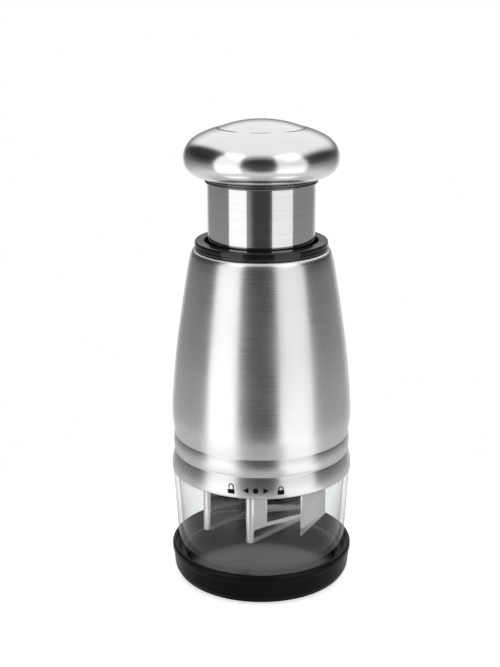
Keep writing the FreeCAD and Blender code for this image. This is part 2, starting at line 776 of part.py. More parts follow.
# Guide bush: low-friction sleeve that the tube slides in
bush_body = turned("bush_body", [
    (tube_radius + running_gap, bush_low),
    (tower_inner - running_gap, bush_low),
    (tower_inner - running_gap, bush_low + bush_flange),
    (tube_radius + bush_wall, bush_low + bush_flange),
    (tube_radius + bush_wall, bush_top - 2.0),
    (tower_inner - running_gap, bush_top - 2.0),
    (tower_inner - running_gap, bush_top),
    (tube_radius + running_gap, bush_top),
])
bush_holes = []
for k in range(3):
    turn_to = math.radians(90.0 + 120.0 * k)
    aim = (math.cos(turn_to), math.sin(turn_to))
    bush_holes.append(rod_along("bush_hole_%d" % (k + 1), bush_screw_radius,
                                along(aim, tube_radius + 1.1, bush_screw_height),
                                along(aim, tower_inner + 0.8, bush_screw_height)))
bush = trimmed("guide_bush", bush_body, bush_holes)
keep(bush)

# Bush screws: three small radial screws through the tower into the bush
grubs = []
for k in range(3):
    turn_to = math.radians(90.0 + 120.0 * k)
    aim = (math.cos(turn_to), math.sin(turn_to))
    stem = rod_along("bush_screw_stem_%d" % (k + 1), bush_screw_radius,
                     along(aim, tube_radius + 1.2, bush_screw_height),
                     along(aim, tower_outer, bush_screw_height))
    head = rod_along("bush_screw_head_%d" % (k + 1), bush_screw_radius * 1.9,
                     along(aim, tower_outer, bush_screw_height),
                     along(aim, tower_outer + 1.2, bush_screw_height))
    grubs.append(joined("bush_screw_%d" % (k + 1), stem, [head]))
bush_screws = doc.addObject("Part::Compound", "bush_screws")
bush_screws.Links = grubs
bush_screws.Label = "bush_screws"
keep(bush_screws)

# Buffer ring: rubber ring that stops the plunger softly at the top
buffer = turned("buffer_ring", [
    (tube_radius + 0.5, bush_low - buffer_thickness),
    (tower_inner - 0.2, bush_low - buffer_thickness),
    (tower_inner - 0.2, bush_low),
    (tube_radius + 0.5, bush_low),
])
buffer_low = bush_low - buffer_thickness
buffer_edges = (rings(buffer.Shape, tower_inner - 0.2, buffer_low)
                + rings(buffer.Shape, tube_radius + 0.5, buffer_low))
rounded(buffer, buffer_edges, 0.4, "buffer_round")
keep(buffer)

# Plunger tube: polished steel sleeve between the knob and the housing
tube = turned("plunger_tube", [
    (tube_radius - tube_wall, plug_top),
    (tube_radius, plug_top),
    (tube_radius, tube_top),
    (tube_radius - tube_wall, tube_top),
])
keep(tube)

# Tube plug: closes the tube's lower end, holds the rod and is the stop at the top of the travel
plug_low = plug_top - plug_flange
plug_body = turned("plug_body", [
    (rod_radius, plug_low),
    (plug_flange_radius, plug_low),
    (plug_flange_radius, plug_top),
    (tube_radius - tube_wall, plug_top),
    (tube_radius - tube_wall, plug_top + plug_spigot),
    (tube_radius - tube_wall - 2.0, plug_top + plug_spigot),
    (tube_radius - tube_wall - 2.0, plug_top),
    (plug_hub_radius, plug_top),
    (plug_hub_radius, plug_hub_top),
    (rod_radius, plug_hub_top),
])
cross_height = plug_hub_top - 4.0
cross_bore = rod_along("cross_bore", cross_pin_radius,
                       (-plug_hub_radius.value - 1, 0, cross_height.value),
                       (plug_hub_radius.value + 1, 0, cross_height.value))
plug = trimmed("tube_plug", plug_body, [cross_bore])
keep(plug)

# Plunger rod: steel rod from the knob down to the blade carrier
rod_body = turned("rod_body", [
    (0, rod_spigot_end),
    (rod_spigot_radius, rod_spigot_end),
    (rod_spigot_radius, rod_shoulder),
    (rod_radius, rod_shoulder),
    (rod_radius, rod_top),
    (0, rod_top),
])
drilled(rod_body, "rod_top_bore", [(0.0, 0.0)], knob_screw_radius, rod_top - 14.0, rod_top)
drilled(rod_body, "rod_low_bore", [(0.0, 0.0)], blade_screw_radius, rod_spigot_end, rod_spigot_end + 9.0)
rod_bore = rod_along("rod_cross_bore", cross_pin_radius,
                     (-plug_hub_radius.value - 1, 0, cross_height.value),
                     (plug_hub_radius.value + 1, 0, cross_height.value))
rod = trimmed("plunger_rod", rod_body, [rod_bore])
keep(rod)

# Cross pin: locks the rod in the tube plug
cross_pin = rod_along("cross_pin", cross_pin_radius,
                      (-plug_hub_radius.value, 0, cross_height.value),
                      (plug_hub_radius.value, 0, cross_height.value))
cross_pin.Label = "cross_pin"
keep(cross_pin)

# Knob core: black moulding that carries the steel knob on the tube and rod
spigot_radius = tube_radius - tube_wall
core_web_low = tube_top
core_web_top = core_web_low + 2.6
core_body = turned("knob_core", [
    (0, rod_top),
    (rod_radius, rod_top),
    (rod_radius, rod_top - 12.0),
    (rod_radius + 3.5, rod_top - 12.0),
    (rod_radius + 3.5, core_web_low - 2.0),
    (spigot_radius - 2.0, core_web_low - 2.0),
    (spigot_radius - 2.0, core_web_low - 9.0),
    (spigot_radius, core_web_low - 9.0),
    (spigot_radius, core_web_low),
    (tube_radius + 0.7, core_web_low),
    (tube_radius + 0.7, core_web_low + 1.2),
    (core_radius - 3.6, core_web_low + 2.4),
    (core_radius - 1.0, core_web_low + 4.7),
    (core_radius, core_web_low + core_tall - 5.0),
    (core_radius, core_web_low + core_tall),
    (core_radius - 2.0, core_web_low + core_tall),
    (core_radius - 2.0, core_web_low + core_tall - 5.0),
    (core_radius - 4.2, core_web_low + 4.4),
    (cap_radius - 1.0, core_web_top + 0.8),
    (cap_radius - 1.0, cap_edge - 1.4),
    (cap_radius - 2.8, cap_edge - 1.4),
    (cap_radius - 2.8, core_web_top + 0.6),
    (8.5, core_web_top + 0.4),
    (8.5, core_web_top + 4.0),
    (4.4, core_web_top + 4.0),
    (4.4, core_web_top),
    (0, core_web_top),
])
drilled(core_body, "knob_screw_bore", [(0.0, 0.0)], knob_screw_radius, rod_top - 0.5, core_web_top + 0.5)
keep(core_body)

# Knob screw: pulls the knob core down on the rod
knob_screw = screw("knob_screw", [(0.0, 0.0)], knob_screw_radius, knob_screw_head,
                   core_web_top, 2.8, rod_top - 12.0, 0.9)
keep(knob_screw)

# Knob shell: spun steel mushroom with an opening for the cap
knob_run = run_of((tube_radius + 1.0, knob_radius), (knob_foot, knob_equator), [
    (0, 0), (0.219048, 0.047368), (0.438095, 0.121053), (0.647619, 0.242105), (0.809524, 0.405263),
    (0.914286, 0.578947), (0.976190, 0.778947), (1, 1)])
knob_run += run_of((cap_radius + free_gap, knob_radius), (knob_equator, knob_rim), [
    (0.990909, 0.123636), (0.945455, 0.298182), (0.860606, 0.476364), (0.733333, 0.632727),
    (0.581818, 0.749091), (0.4, 0.847273), (0.175758, 0.941818), (0, 1)])
knob_shell = pressed_sheet("knob_shell", [knob_run], knob_wall.value)
keep(knob_shell)

# Knob cap: shallow domed disc set in the top of the knob
crown = cap_crown.value
edge = cap_edge.value
dome = []
for k in range(9):
    reach = cap_radius.value * k / 8.0
    dome.append((reach, crown - (crown - edge - 0.25) * (reach / cap_radius.value) ** 2.1))
cap_edges = []
cap_edges.append(curve_through(dome))
inside = [(r, z - cap_wall.value) for r, z in dome[:-1]]
inside[-1] = (cap_radius.value - cap_wall.value, inside[-1][1] - 0.5)
cap_edges.append(curve_through(inside))


def segment(first, last):
    return Part.LineSegment(FreeCAD.Vector(first[0], 0, first[1]),
                            FreeCAD.Vector(last[0], 0, last[1])).toShape()


skirt_foot = edge - 1.4
cap_edges.append(segment(dome[0], inside[0]))
cap_edges.append(segment(dome[-1], (cap_radius.value, skirt_foot)))
cap_edges.append(segment((cap_radius.value, skirt_foot),
                         (cap_radius.value - cap_wall.value, skirt_foot)))
cap_edges.append(segment((cap_radius.value - cap_wall.value, skirt_foot), inside[-1]))
cap_section = doc.addObject("Part::Feature", "cap_section")
cap_section.Shape = Part.Face(Part.Wire(Part.__sortEdges__(cap_edges)))
cap = doc.addObject("Part::Revolution", "knob_cap")
cap.Source = cap_section
cap.Axis = FreeCAD.Vector(0, 0, 1)
cap.Angle = 360.0
cap.Solid = True
cap.Label = "knob_cap"
doc.recompute()
keep(cap)

# Knob ring: rolled steel bead where the knob meets the tube
ring = turned("knob_ring", [
    (tube_radius, ring_low),
    (tube_radius + ring_bulge * 0.6, ring_low),
    (tube_radius + ring_bulge, ring_low + 0.5),
    (tube_radius + ring_bulge, ring_low + 0.9),
    (tube_radius + ring_bulge * 0.55, ring_low + 1.3),
    (tube_radius + ring_bulge, ring_low + 1.7),
    (tube_radius + ring_bulge, ring_top),
    (tube_radius, ring_top),
])
keep(ring)

# Zigzag blade: one steel strip folded across the circle, with round folds and two free ends
fold_angles = []
for steps in (1.5, -1.0, 0.5, 0.0, -0.5, 1.0, -1.5):
    turned_by = fold_step_angle.value * steps
    flip = 180.0 if abs(steps) in (1.5, 0.5) else 0.0
    fold_angles.append(math.radians(fold_axis_angle.value + flip + turned_by))


def tangent(first, side_a, last, side_b):
    """Straight panel from one fold to the next; a side is the panel's offset from the centre."""
    run = (last[0] - first[0], last[1] - first[1])
    length = math.hypot(*run)
    along = (run[0] / length, run[1] / length)
    left = (-along[1], along[0])
    slant = (side_b - side_a) / length
    cosine = math.sqrt(1.0 - slant * slant)
    aim = (cosine * along[0] + slant * left[0], cosine * along[1] + slant * left[1])
    normal = (-aim[1], aim[0])
    start = (first[0] + normal[0] * side_a, first[1] + normal[1] * side_a)
    end = (last[0] + normal[0] * side_b, last[1] + normal[1] * side_b)
    return start, end, aim


def zigzag_side(offset, stretch):
    """One long side of the strip as edges, offset to the left of its middle line."""
    radius = fold_circle.value
    centres = []
    for number, angle in enumerate(fold_angles):
        reach = blade_end_radius.value if number in (0, 6) else radius
        centres.append((reach * math.cos(angle), reach * math.sin(angle)))
    turns = [0, 1, -1, 1, -1, 1, 0]
    panels = []
    for number in range(6):
        first_turn = turns[number]
        last_turn = turns[number + 1]
        side_a = -first_turn * (fold_bend.value - first_turn * offset) if first_turn else offset
        side_b = -last_turn * (fold_bend.value - last_turn * offset) if last_turn else offset
        start, end, aim = tangent(centres[number], side_a, centres[number + 1], side_b)
        if number == 0:
            start = (start[0] - aim[0] * stretch, start[1] - aim[1] * stretch)
        if number == 5:
            end = (end[0] + aim[0] * stretch, end[1] + aim[1] * stretch)
        panels.append((start, end))
    edges = []
    for number in range(6):
        start, end = panels[number]
        edges.append(Part.LineSegment(FreeCAD.Vector(start[0], start[1], 0),
                                      FreeCAD.Vector(end[0], end[1], 0)).toShape())
        if number < 5:
            centre = centres[number + 1]
            after = panels[number + 1][0]
            bend = math.hypot(end[0] - centre[0], end[1] - centre[1])
            away = math.hypot(*centre)
            middle = (centre[0] + centre[0] / away * bend, centre[1] + centre[1] / away * bend)
            edges.append(Part.Arc(FreeCAD.Vector(end[0], end[1], 0),
                                  FreeCAD.Vector(middle[0], middle[1], 0),
                                  FreeCAD.Vector(after[0], after[1], 0)).toShape())
    return edges, panels[0][0], panels[5][1]


def zigzag_face(half, stretch):
    left, left_start, left_end = zigzag_side(half, stretch)
    right, right_start, right_end = zigzag_side(-half, stretch)
    caps = [Part.LineSegment(FreeCAD.Vector(left_start[0], left_start[1], 0),
                             FreeCAD.Vector(right_start[0], right_start[1], 0)).toShape(),
            Part.LineSegment(FreeCAD.Vector(left_end[0], left_end[1], 0),
                             FreeCAD.Vector(right_end[0], right_end[1], 0)).toShape()]
    wire = Part.Wire(Part.__sortEdges__(left + right + caps))
    return Part.Face(wire)


def zigzag_prism(name, half, stretch, low, tall):
    face = doc.addObject("Part::Feature", name + "_plan")
    face.Shape = zigzag_face(half, stretch)
    face.Placement = FreeCAD.Placement(FreeCAD.Vector(0, 0, low.value), FreeCAD.Rotation())
    face.setExpression("Placement.Base.z", low.text)
    prism = doc.addObject("Part::Extrusion", name)
    prism.Base = face
    prism.DirMode = "Custom"
    prism.Dir = FreeCAD.Vector(0, 0, 1)
    prism.setExpression("LengthFwd", tall.text)
    prism.Solid = True
    doc.recompute()
    return prism


strip = zigzag_prism("zigzag_strip", blade_thick.value / 2, 0.0, blade_low, blade_top - blade_low)
low_edges = []
for number, item in enumerate(strip.Shape.Edges):
    on_floor = all(abs(v.Z - blade_low.value) < 1e-6 for v in item.Vertexes)
    if on_floor and item.Length > 2.0 * blade_thick.value:
        low_edges.append((number + 1, 1.5, edge_bevel.value))
blade = doc.addObject("Part::Chamfer", "zigzag_blade")
blade.Base = strip
blade.Edges = low_edges
blade.Label = "zigzag_blade"
doc.recompute()
keep(blade)

# Blade carrier: plastic hub that grips the top of the blade and turns on the rod
pocket_radius = washer_radius + 0.4
carrier_body = turned("carrier_body", [
    (pocket_radius, carrier_low),
    (carrier_radius, carrier_low),
    (carrier_radius, carrier_low + carrier_thick),
    (sleeve_radius, carrier_low + carrier_thick),
    (sleeve_radius, sleeve_top),
    (rod_radius + running_gap, sleeve_top),
    (rod_radius + running_gap, rod_shoulder - 0.05),
    (rod_spigot_radius + running_gap, rod_shoulder - 0.05),
    (rod_spigot_radius + running_gap, rod_spigot_end + 0.1),
    (pocket_radius, rod_spigot_end + 0.1),
])
carrier_edge = rings(carrier_body.Shape, carrier_radius, carrier_low + carrier_thick)
rounded(carrier_body, carrier_edge, 0.8, "carrier_rim_round")
seat = zigzag_prism("blade_seat", blade_thick.value / 2, 0.0, carrier_low - 1.0,
                    blade_top - carrier_low + 1.0)


def slanting_groove(name, start_angle):
    """Groove that lets a fixed pin turn the sleeve as the sleeve moves down."""
    pitch = stroke.value * 360.0 / stroke_turn.value
    low = guide_pin_height.value - 2.2
    tall = sleeve_top.value + 1.0 - low
    middle = (sleeve_radius.value - groove_depth.value + sleeve_radius.value + 0.8) / 2.0
    helix = Part.makeHelix(pitch, tall, middle, 0.0, True)
    lead = -360.0 * (low - guide_pin_height.value) / pitch
    deep = groove_depth.value + 0.8
    wide = 2.0 * (guide_pin_radius.value + free_gap.value)
    corners = [(middle - deep / 2, -wide / 2), (middle + deep / 2, -wide / 2),
               (middle + deep / 2, wide / 2), (middle - deep / 2, wide / 2)]
    frame_points = [FreeCAD.Vector(x, y, 0) for x, y in corners]
    section = Part.makePolygon(frame_points + [frame_points[0]])
    swept = Part.Wire(helix.Edges).makePipeShell([section], True, True)
    cutter = doc.addObject("Part::Feature", name)
    cutter.Shape = swept
    cutter.Placement = FreeCAD.Placement(FreeCAD.Vector(0, 0, low),
                                         FreeCAD.Rotation(FreeCAD.Vector(0, 0, 1), start_angle + lead))
    return cutter


grooves = [slanting_groove("groove_1", 0.0), slanting_groove("groove_2", 180.0)]
carrier = trimmed("blade_carrier", carrier_body, [seat] + grooves)
keep(carrier)

# Thrust washer and blade screw: keep the carrier on the end of the rod
washer = turned("thrust_washer", [
    (blade_screw_radius + 0.1, rod_spigot_end - washer_thick),
    (washer_radius, rod_spigot_end - washer_thick),
    (washer_radius, rod_spigot_end),
    (blade_screw_radius + 0.1, rod_spigot_end),
])
keep(washer)
screw_head = turned("blade_screw_head", [
    (0, rod_spigot_end - washer_thick - 2.3),
    (blade_screw_head - 0.6, rod_spigot_end - washer_thick - 2.3),
    (blade_screw_head, rod_spigot_end - washer_thick - 1.5),
    (blade_screw_head, rod_spigot_end - washer_thick),
    (blade_screw_radius, rod_spigot_end - washer_thick),
    (blade_screw_radius, rod_spigot_end + 8.0),
    (0, rod_spigot_end + 8.0),
])
recess = []
for turn_to in (0.0, 90.0):
    bar = doc.addObject("Part::Box", "blade_screw_recess")
    bar.Length = 4.0
    bar.Width = 0.8
    bar.Height = 1.6
    bar.Placement = FreeCAD.Placement(
        FreeCAD.Vector(0, 0, (rod_spigot_end - washer_thick).value - 2.8),
        FreeCAD.Rotation(FreeCAD.Vector(0, 0, 1), turn_to)).multiply(
            FreeCAD.Placement(FreeCAD.Vector(-2.0, -0.4, 0), FreeCAD.Rotation()))
    recess.append(bar)
blade_screw = trimmed("blade_screw", screw_head, recess)
keep(blade_screw)

# Wiper disc: slotted disc that turns with the blade and scrapes it clean
wiper_radius = neck_inner - free_gap
wiper_body = turned("wiper_body", [
    (0, wiper_low),
    (wiper_radius, wiper_low),
    (wiper_radius, wiper_flange_low),
    (wiper_flange_radius, wiper_flange_low),
    (wiper_flange_radius, wiper_flange_low + wiper_flange_thick),
    (wiper_radius - wiper_wall, wiper_flange_low + wiper_flange_thick),
    (wiper_radius - wiper_wall, wiper_low + wiper_thick),
    (0, wiper_low + wiper_thick),
])
rounded(wiper_body, rings(wiper_body.Shape, wiper_radius, wiper_low), 0.5, "wiper_edge_round")
slit = zigzag_prism("wiper_slit", blade_thick.value / 2 + slot_gap.value, 0.7,
                    wiper_low - 1.0, wiper_thick + 2.0)
wiper = trimmed("wiper_disc", wiper_body, [slit])
keep(wiper)

# Snap ring: split ring in the liner's groove that holds the wiper disc up
ring_blank = turned("snap_ring_blank", [
    (wiper_radius + 0.45, snap_ring_low),
    (skirt_inner + 0.6, snap_ring_low),
    (skirt_inner + 0.6, snap_ring_low + snap_ring_thick),
    (wiper_radius + 0.45, snap_ring_low + snap_ring_thick),
])
split = doc.addObject("Part::Box", "snap_ring_split")
split.Length = 5.0
split.Width = 8.0
split.Height = snap_ring_thick.value + 2.4
split_corner = FreeCAD.Vector(-2.5, wiper_radius.value - 0.9, snap_ring_low.value - 1.0)
split.Placement = FreeCAD.Placement(split_corner, FreeCAD.Rotation())
snap_ring = trimmed("snap_ring", ring_blank, [split])
keep(snap_ring)

# Spring washer: thin steel seat for the spring on the plastic deck
spring_seat = turned("spring_washer", [
    (guide_boss_radius + 0.3, deck_top),
    (spring_radius + spring_wire + 1.2, deck_top),
    (spring_radius + spring_wire + 1.2, deck_top + 0.6),
    (guide_boss_radius + 0.3, deck_top + 0.6),
])
keep(spring_seat)

# Return spring: open coils with a closed turn at each end, drawn by formula
spring_low = (deck_top + 0.6).value + spring_wire.value + 0.02
spring_high = plug_low.value - spring_wire.value - 0.02
closed_rise = 2.0 * spring_wire.value + 0.45
total_turns = spring_turns + 2.0
open_rise = (spring_high - spring_low - 2.0 * closed_rise) / spring_turns


def spring_height(turn):
    """Height along the spring after so many turns, easing between closed and open coils."""
    steps = 200
    total = 0.0
    for k in range(steps):
        here = turn * (k + 0.5) / steps
        total += pitch_at(here) * turn / steps
    return total


def pitch_at(turn):
    ease = 0.35
    low_side = min(max((turn - 1.0 + ease) / (2 * ease), 0.0), 1.0)
    high_side = min(max((total_turns - 1.0 + ease - turn) / (2 * ease), 0.0), 1.0)
    blend = (low_side * low_side * (3 - 2 * low_side)) * (high_side * high_side * (3 - 2 * high_side))
    return closed_rise + (open_rise - closed_rise) * blend


scale = (spring_high - spring_low) / spring_height(total_turns)


def spring_point(turn):
    angle = 2.0 * math.pi * turn
    return FreeCAD.Vector(spring_radius.value * math.cos(angle), spring_radius.value * math.sin(angle),
                          spring_low + scale * spring_height(turn))


def spring_aim(turn):
    angle = 2.0 * math.pi * turn
    aim = FreeCAD.Vector(-2.0 * math.pi * spring_radius.value * math.sin(angle),
                         2.0 * math.pi * spring_radius.value * math.cos(angle),
                         scale * pitch_at(turn))
    return aim.normalize()


def arc_edge(start, corner, end):
    """Arc that leaves start towards the corner and reaches end away from it."""
    chord_middle = (start + end) * 0.5
    side = (corner - start).Length
    inward = chord_middle - corner
    sine = inward.Length / side
    cosine = math.sqrt(1.0 - sine * sine)
    bend = side * cosine / sine
    middle = corner + inward.normalize() * (bend / cosine - bend)
    return Part.Arc(start, middle, end).toShape()


def half_bends(first_turn, last_turn):
    """Two arcs that share a tangent and carry the spring over a quarter turn."""
    start = spring_point(first_turn)
    end = spring_point(last_turn)
    aim_a = spring_aim(first_turn)
    aim_b = spring_aim(last_turn)
    run = end - start
    a = 2.0 * (aim_a.dot(aim_b) - 1.0)
    b = -2.0 * run.dot(aim_a + aim_b)
    c = run.dot(run)
    reach = (-b - math.sqrt(b * b - 4.0 * a * c)) / (2.0 * a)
    if reach < 0:
        reach = (-b + math.sqrt(b * b - 4.0 * a * c)) / (2.0 * a)
    near = start + aim_a * reach
    far = end - aim_b * reach
    joint = (near + far) * 0.5
    return [arc_edge(start, near, joint), arc_edge(joint, far, end)]


spring_edges = []
quarters = int(total_turns * 4)
for k in range(quarters):
    spring_edges.extend(half_bends(k / 4.0, (k + 1) / 4.0))
spring_path = Part.Wire(spring_edges)
section = Part.Wire([Part.makeCircle(spring_wire.value, spring_point(0.0), spring_aim(0.0))])
spring = doc.addObject("Part::Feature", "return_spring")
spring.Shape = spring_path.makePipeShell([section], True, False)
spring.Label = "return_spring"
doc.recompute()
keep(spring)

# Faults stop the build before anything is written
doc.recompute()
for item in doc.Objects:
    if "Invalid" in item.State or "Error" in item.State:
        raise ValueError("feature failed: " + item.Name)
for item in kept:
    if item.Shape.isNull() or not item.Shape.isValid() or item.Shape.Volume <= 0:
        raise ValueError("bad solid: " + item.Label)

os.makedirs("parts", exist_ok=True)
for item in kept:
    item.Shape.exportStep("parts/%s.step" % item.Label)
    print("%-16s %10.1f mm3  %d solid(s)" % (item.Label, item.Shape.Volume, len(item.Shape.Solids)))
print(len(kept), "pieces")
per_turn = 16
coil_points = [spring_point(k / float(per_turn)) for k in range(int(total_turns * per_turn) + 1)]
gaps = []
for first in range(len(coil_points) - per_turn):
    gaps.append((coil_points[first + per_turn] - coil_points[first]).Length - 2.0 * spring_wire.value)
print("least gap between spring coils %.2f mm" % min(gaps))
print("spring wire length times section %.1f mm3"
      % (spring_path.Length * math.pi * spring_wire.value ** 2))
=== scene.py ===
# %% [markdown]
# # A plunger food chopper
#
# Almost everything on this chopper is turned or spun round one upright line: the black
# cup, the clear chamber, the steel housing, the tube and the mushroom knob. Only the blade
# is different, one strip of steel folded in a zigzag. So the lesson is mostly about drawing
# half sections and spinning them, and about making metal look like metal, which is half the
# surface and half the room that it mirrors.
#
# The first cell loads the finished CAD model as a frame. Its pieces are in metres, with Z up
# and the middle of the foot at the origin. The visible pieces are made anew on top of it. The
# pieces hidden inside keep their CAD shape and only get better finishes, all but the return
# spring, which is wound anew; the real one shortens when the knob goes down.

# %% Load the frame and list its pieces
import math

import bpy
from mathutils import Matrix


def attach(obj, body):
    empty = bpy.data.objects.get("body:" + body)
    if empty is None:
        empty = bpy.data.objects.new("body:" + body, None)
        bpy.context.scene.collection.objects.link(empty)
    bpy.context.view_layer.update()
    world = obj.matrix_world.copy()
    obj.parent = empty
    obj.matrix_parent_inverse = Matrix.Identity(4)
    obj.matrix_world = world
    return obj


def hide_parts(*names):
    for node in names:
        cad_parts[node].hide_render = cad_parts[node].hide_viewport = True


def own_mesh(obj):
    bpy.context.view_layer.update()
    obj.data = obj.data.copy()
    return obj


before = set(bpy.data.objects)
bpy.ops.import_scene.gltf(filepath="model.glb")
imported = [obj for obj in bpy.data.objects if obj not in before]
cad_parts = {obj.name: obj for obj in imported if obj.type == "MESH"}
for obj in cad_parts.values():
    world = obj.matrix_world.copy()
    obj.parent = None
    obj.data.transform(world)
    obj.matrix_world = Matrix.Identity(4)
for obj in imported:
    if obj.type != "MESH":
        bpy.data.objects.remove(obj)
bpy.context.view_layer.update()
print("pieces:", ", ".join(sorted(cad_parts)))

# %% [markdown]
# ## Working in millimetres
#
# The drawing sizes are in millimetres and Blender's are in metres, so one value turns one
# into the other. Operators act on everything that is selected, and loading the frame leaves
# its pieces selected, so each new piece starts by letting go of everything. Two corners that
# lie closer together than `SAME_SPOT` count as one.

# %% Units and selection
MM = 0.001
SAME_SPOT = 0.002 * MM


def let_go():
    """Goes back to object mode with nothing selected."""
    if bpy.context.mode != "OBJECT":
        bpy.ops.object.mode_set(mode="OBJECT")
    bpy.ops.object.select_all(action="DESELECT")


def choose(piece, test, kind="VERT"):
    """In edit mode, selects the corners or faces of a piece for which test is true."""
    bpy.ops.mesh.select_mode(type=kind)
    bpy.ops.mesh.select_all(action="DESELECT")
    bpy.ops.object.mode_set(mode="OBJECT")
    items = piece.data.vertices if kind == "VERT" else piece.data.polygons
    picked = 0
    for item in items:
        place = item.co if kind == "VERT" else item.center
        item.select = bool(test(place, item))
        picked += item.select
    bpy.ops.object.mode_set(mode="EDIT")
    return picked


let_go()
print("one millimetre is", MM, "in the scene")

# %% [markdown]
# ## Drawing a line by extruding one corner
#
# A lathe works from a half section. To draw one by hand, a tiny plane is merged to a single
# corner and that corner is extruded from place to place. The same pen also draws the plan of
# the folded blade and the wire of the spring. Where the line turns sharply, a small corner
# bevel gives the edge the little radius that every moulded or rolled edge really has; a
# perfectly sharp edge never catches the light and looks drawn.

# %% A pen for sections and plans
PEN_TIP = 0.2 * MM


def draw_line(name, spots, closed=True):
    """Draws a line through spots, given in millimetres as (x, y, z)."""
    let_go()
    first = [value * MM for value in spots[0]]
    bpy.ops.mesh.primitive_plane_add(size=PEN_TIP, location=first)
    piece = bpy.context.object
    piece.name = piece.data.name = name
    bpy.ops.object.transform_apply(location=True, rotation=True, scale=True)
    bpy.ops.object.mode_set(mode="EDIT")
    bpy.ops.mesh.select_mode(type="VERT")
    bpy.ops.mesh.select_all(action="SELECT")
    bpy.ops.mesh.merge(type="CENTER")
    route = list(spots) + ([spots[0]] if closed else [])
    for here, there in zip(route, route[1:]):
        step = [(b - a) * MM for a, b in zip(here, there)]
        bpy.ops.mesh.extrude_vertices_move(TRANSFORM_OT_translate={"value": step})
    bpy.ops.mesh.select_all(action="SELECT")
    bpy.ops.mesh.remove_doubles(threshold=SAME_SPOT)
    return piece


def sharp_corners(spots, closed, least=24.0):
    """The spots at which the line turns by more than the least angle."""
    found = []
    count = len(spots)
    for k in range(count):
        if not closed and k in (0, count - 1):
            continue
        before, here, after = spots[k - 1], spots[k], spots[(k + 1) % count]
        way_in = [b - a for a, b in zip(before, here)]
        way_out = [b - a for a, b in zip(here, after)]
        dot = sum(a * b for a, b in zip(way_in, way_out))
        size = math.hypot(*way_in) * math.hypot(*way_out)
        if size and math.degrees(math.acos(max(-1.0, min(1.0, dot / size)))) > least:
            found.append(here)
    return found


def soften(piece, spots, closed, radius):
    """Rounds the sharp corners of the drawn line with a small radius in millimetres."""
    corners = sharp_corners(spots, closed)
    if not corners:
        return 0
    near = 0.02 * MM
    places = [tuple(value * MM for value in spot) for spot in corners]
    choose(piece, lambda co, item: any(math.dist(co, spot) < near for spot in places))
    bpy.ops.mesh.bevel(offset=radius * MM, segments=3, affect="VERTICES", clamp_overlap=True)
    return len(corners)


# %% [markdown]
# ## The lathe
#
# Spinning the half section round Z gives the turned piece. The last step of the spin lands
# on the first, so the doubles are merged; then the normals are recalculated, because a spin
# can turn the surface inside out. A Subdivision Surface takes the flats out of the curve,
# which matters on polished steel: a mirror shows every facet.

# %% Spin a section into a piece
def turn_on_lathe(name, section, edge=0.15, steps=96, levels=1, closed=True):
    """A turned piece from (radius, height) pairs in millimetres."""
    spots = [(radius, 0.0, height) for radius, height in section]
    piece = draw_line(name, spots, closed)
    rounded = soften(piece, spots, closed, edge) if edge else 0
    bpy.ops.mesh.select_all(action="SELECT")
    bpy.ops.mesh.spin(steps=steps, angle=2 * math.pi, center=(0, 0, 0), axis=(0, 0, 1))
    bpy.ops.mesh.select_all(action="SELECT")
    bpy.ops.mesh.remove_doubles(threshold=SAME_SPOT)
    bpy.ops.mesh.normals_make_consistent(inside=False)
    bpy.ops.object.mode_set(mode="OBJECT")
    if levels:
        smooth = piece.modifiers.new("smooth", "SUBSURF")
        smooth.levels = smooth.render_levels = levels
        bpy.ops.object.modifier_apply(modifier=smooth.name)
    bpy.ops.object.shade_smooth()
    print(f"{name}: {len(section)} section corners, {rounded} softened,",
          len(piece.data.polygons), "faces")
    return piece


def thin_wall(outside, wall):
    """Closes an outside curve into a wall of even thickness, measured square to the curve."""
    inside = []
    for k, (radius, height) in enumerate(outside):
        r0, z0 = outside[max(k - 1, 0)]
        r1, z1 = outside[min(k + 1, len(outside) - 1)]
        run = math.hypot(r1 - r0, z1 - z0)
        inside.append((radius - (z1 - z0) / run * wall, height + (r1 - r0) / run * wall))
    return outside + inside[::-1]


def settle(piece, body, *nodes):
    """The piece moves with a body of the frame and stands for the CAD nodes named."""
    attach(piece, body)
    if nodes:
        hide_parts(*nodes)
    print(f"{piece.name} rides on {body}")


# %% [markdown]
# ## The black cup
#
# The cup is a shallow moulding with a lip round its rim, a groove that keeps the chamber from
# sliding about, a ledge that the chamber stands on, and a well for the board. It could be
# carved from a cylinder, but one section shows all of those steps at once, so it is spun.
# The soft outer roll of the rim is drawn with a few extra corners, because that is the line
# of light that the eye follows round the foot.

# %% Spin the cup
cup = turn_on_lathe("cup", [
    (0.0, 0.6), (35.0, 0.6), (35.6, 0.0), (40.1, 0.0), (41.6, 0.64), (43.17, 1.31),
    (43.63, 1.61), (43.96, 2.04), (44.6, 3.2), (45.15, 4.31), (45.33, 4.92), (45.6, 8.3),
    (45.95, 12.7), (46.5, 13.2), (46.5, 15.3), (46.39, 15.87), (46.06, 16.36),
    (45.57, 16.69), (45.0, 16.8), (44.5, 16.8), (44.5, 14.4), (43.03, 14.4),
    (42.65, 8.0), (38.6, 8.0), (38.6, 1.9), (20.0, 1.9), (0.0, 1.9)],
    edge=0.25, closed=False)
settle(cup, "base", "base_cup")

# %% [markdown]
# ## The clear chamber
#
# The chamber is a tapered tube of clear plastic with thick walls. It has a real inside and a
# real outside, so that light meets two surfaces on each side as it does in the hand. Its
# narrow neck goes up into the housing and carries three small lugs, the bayonet that locks
# the two together; they are pulled out of the neck's wall with an extrude.

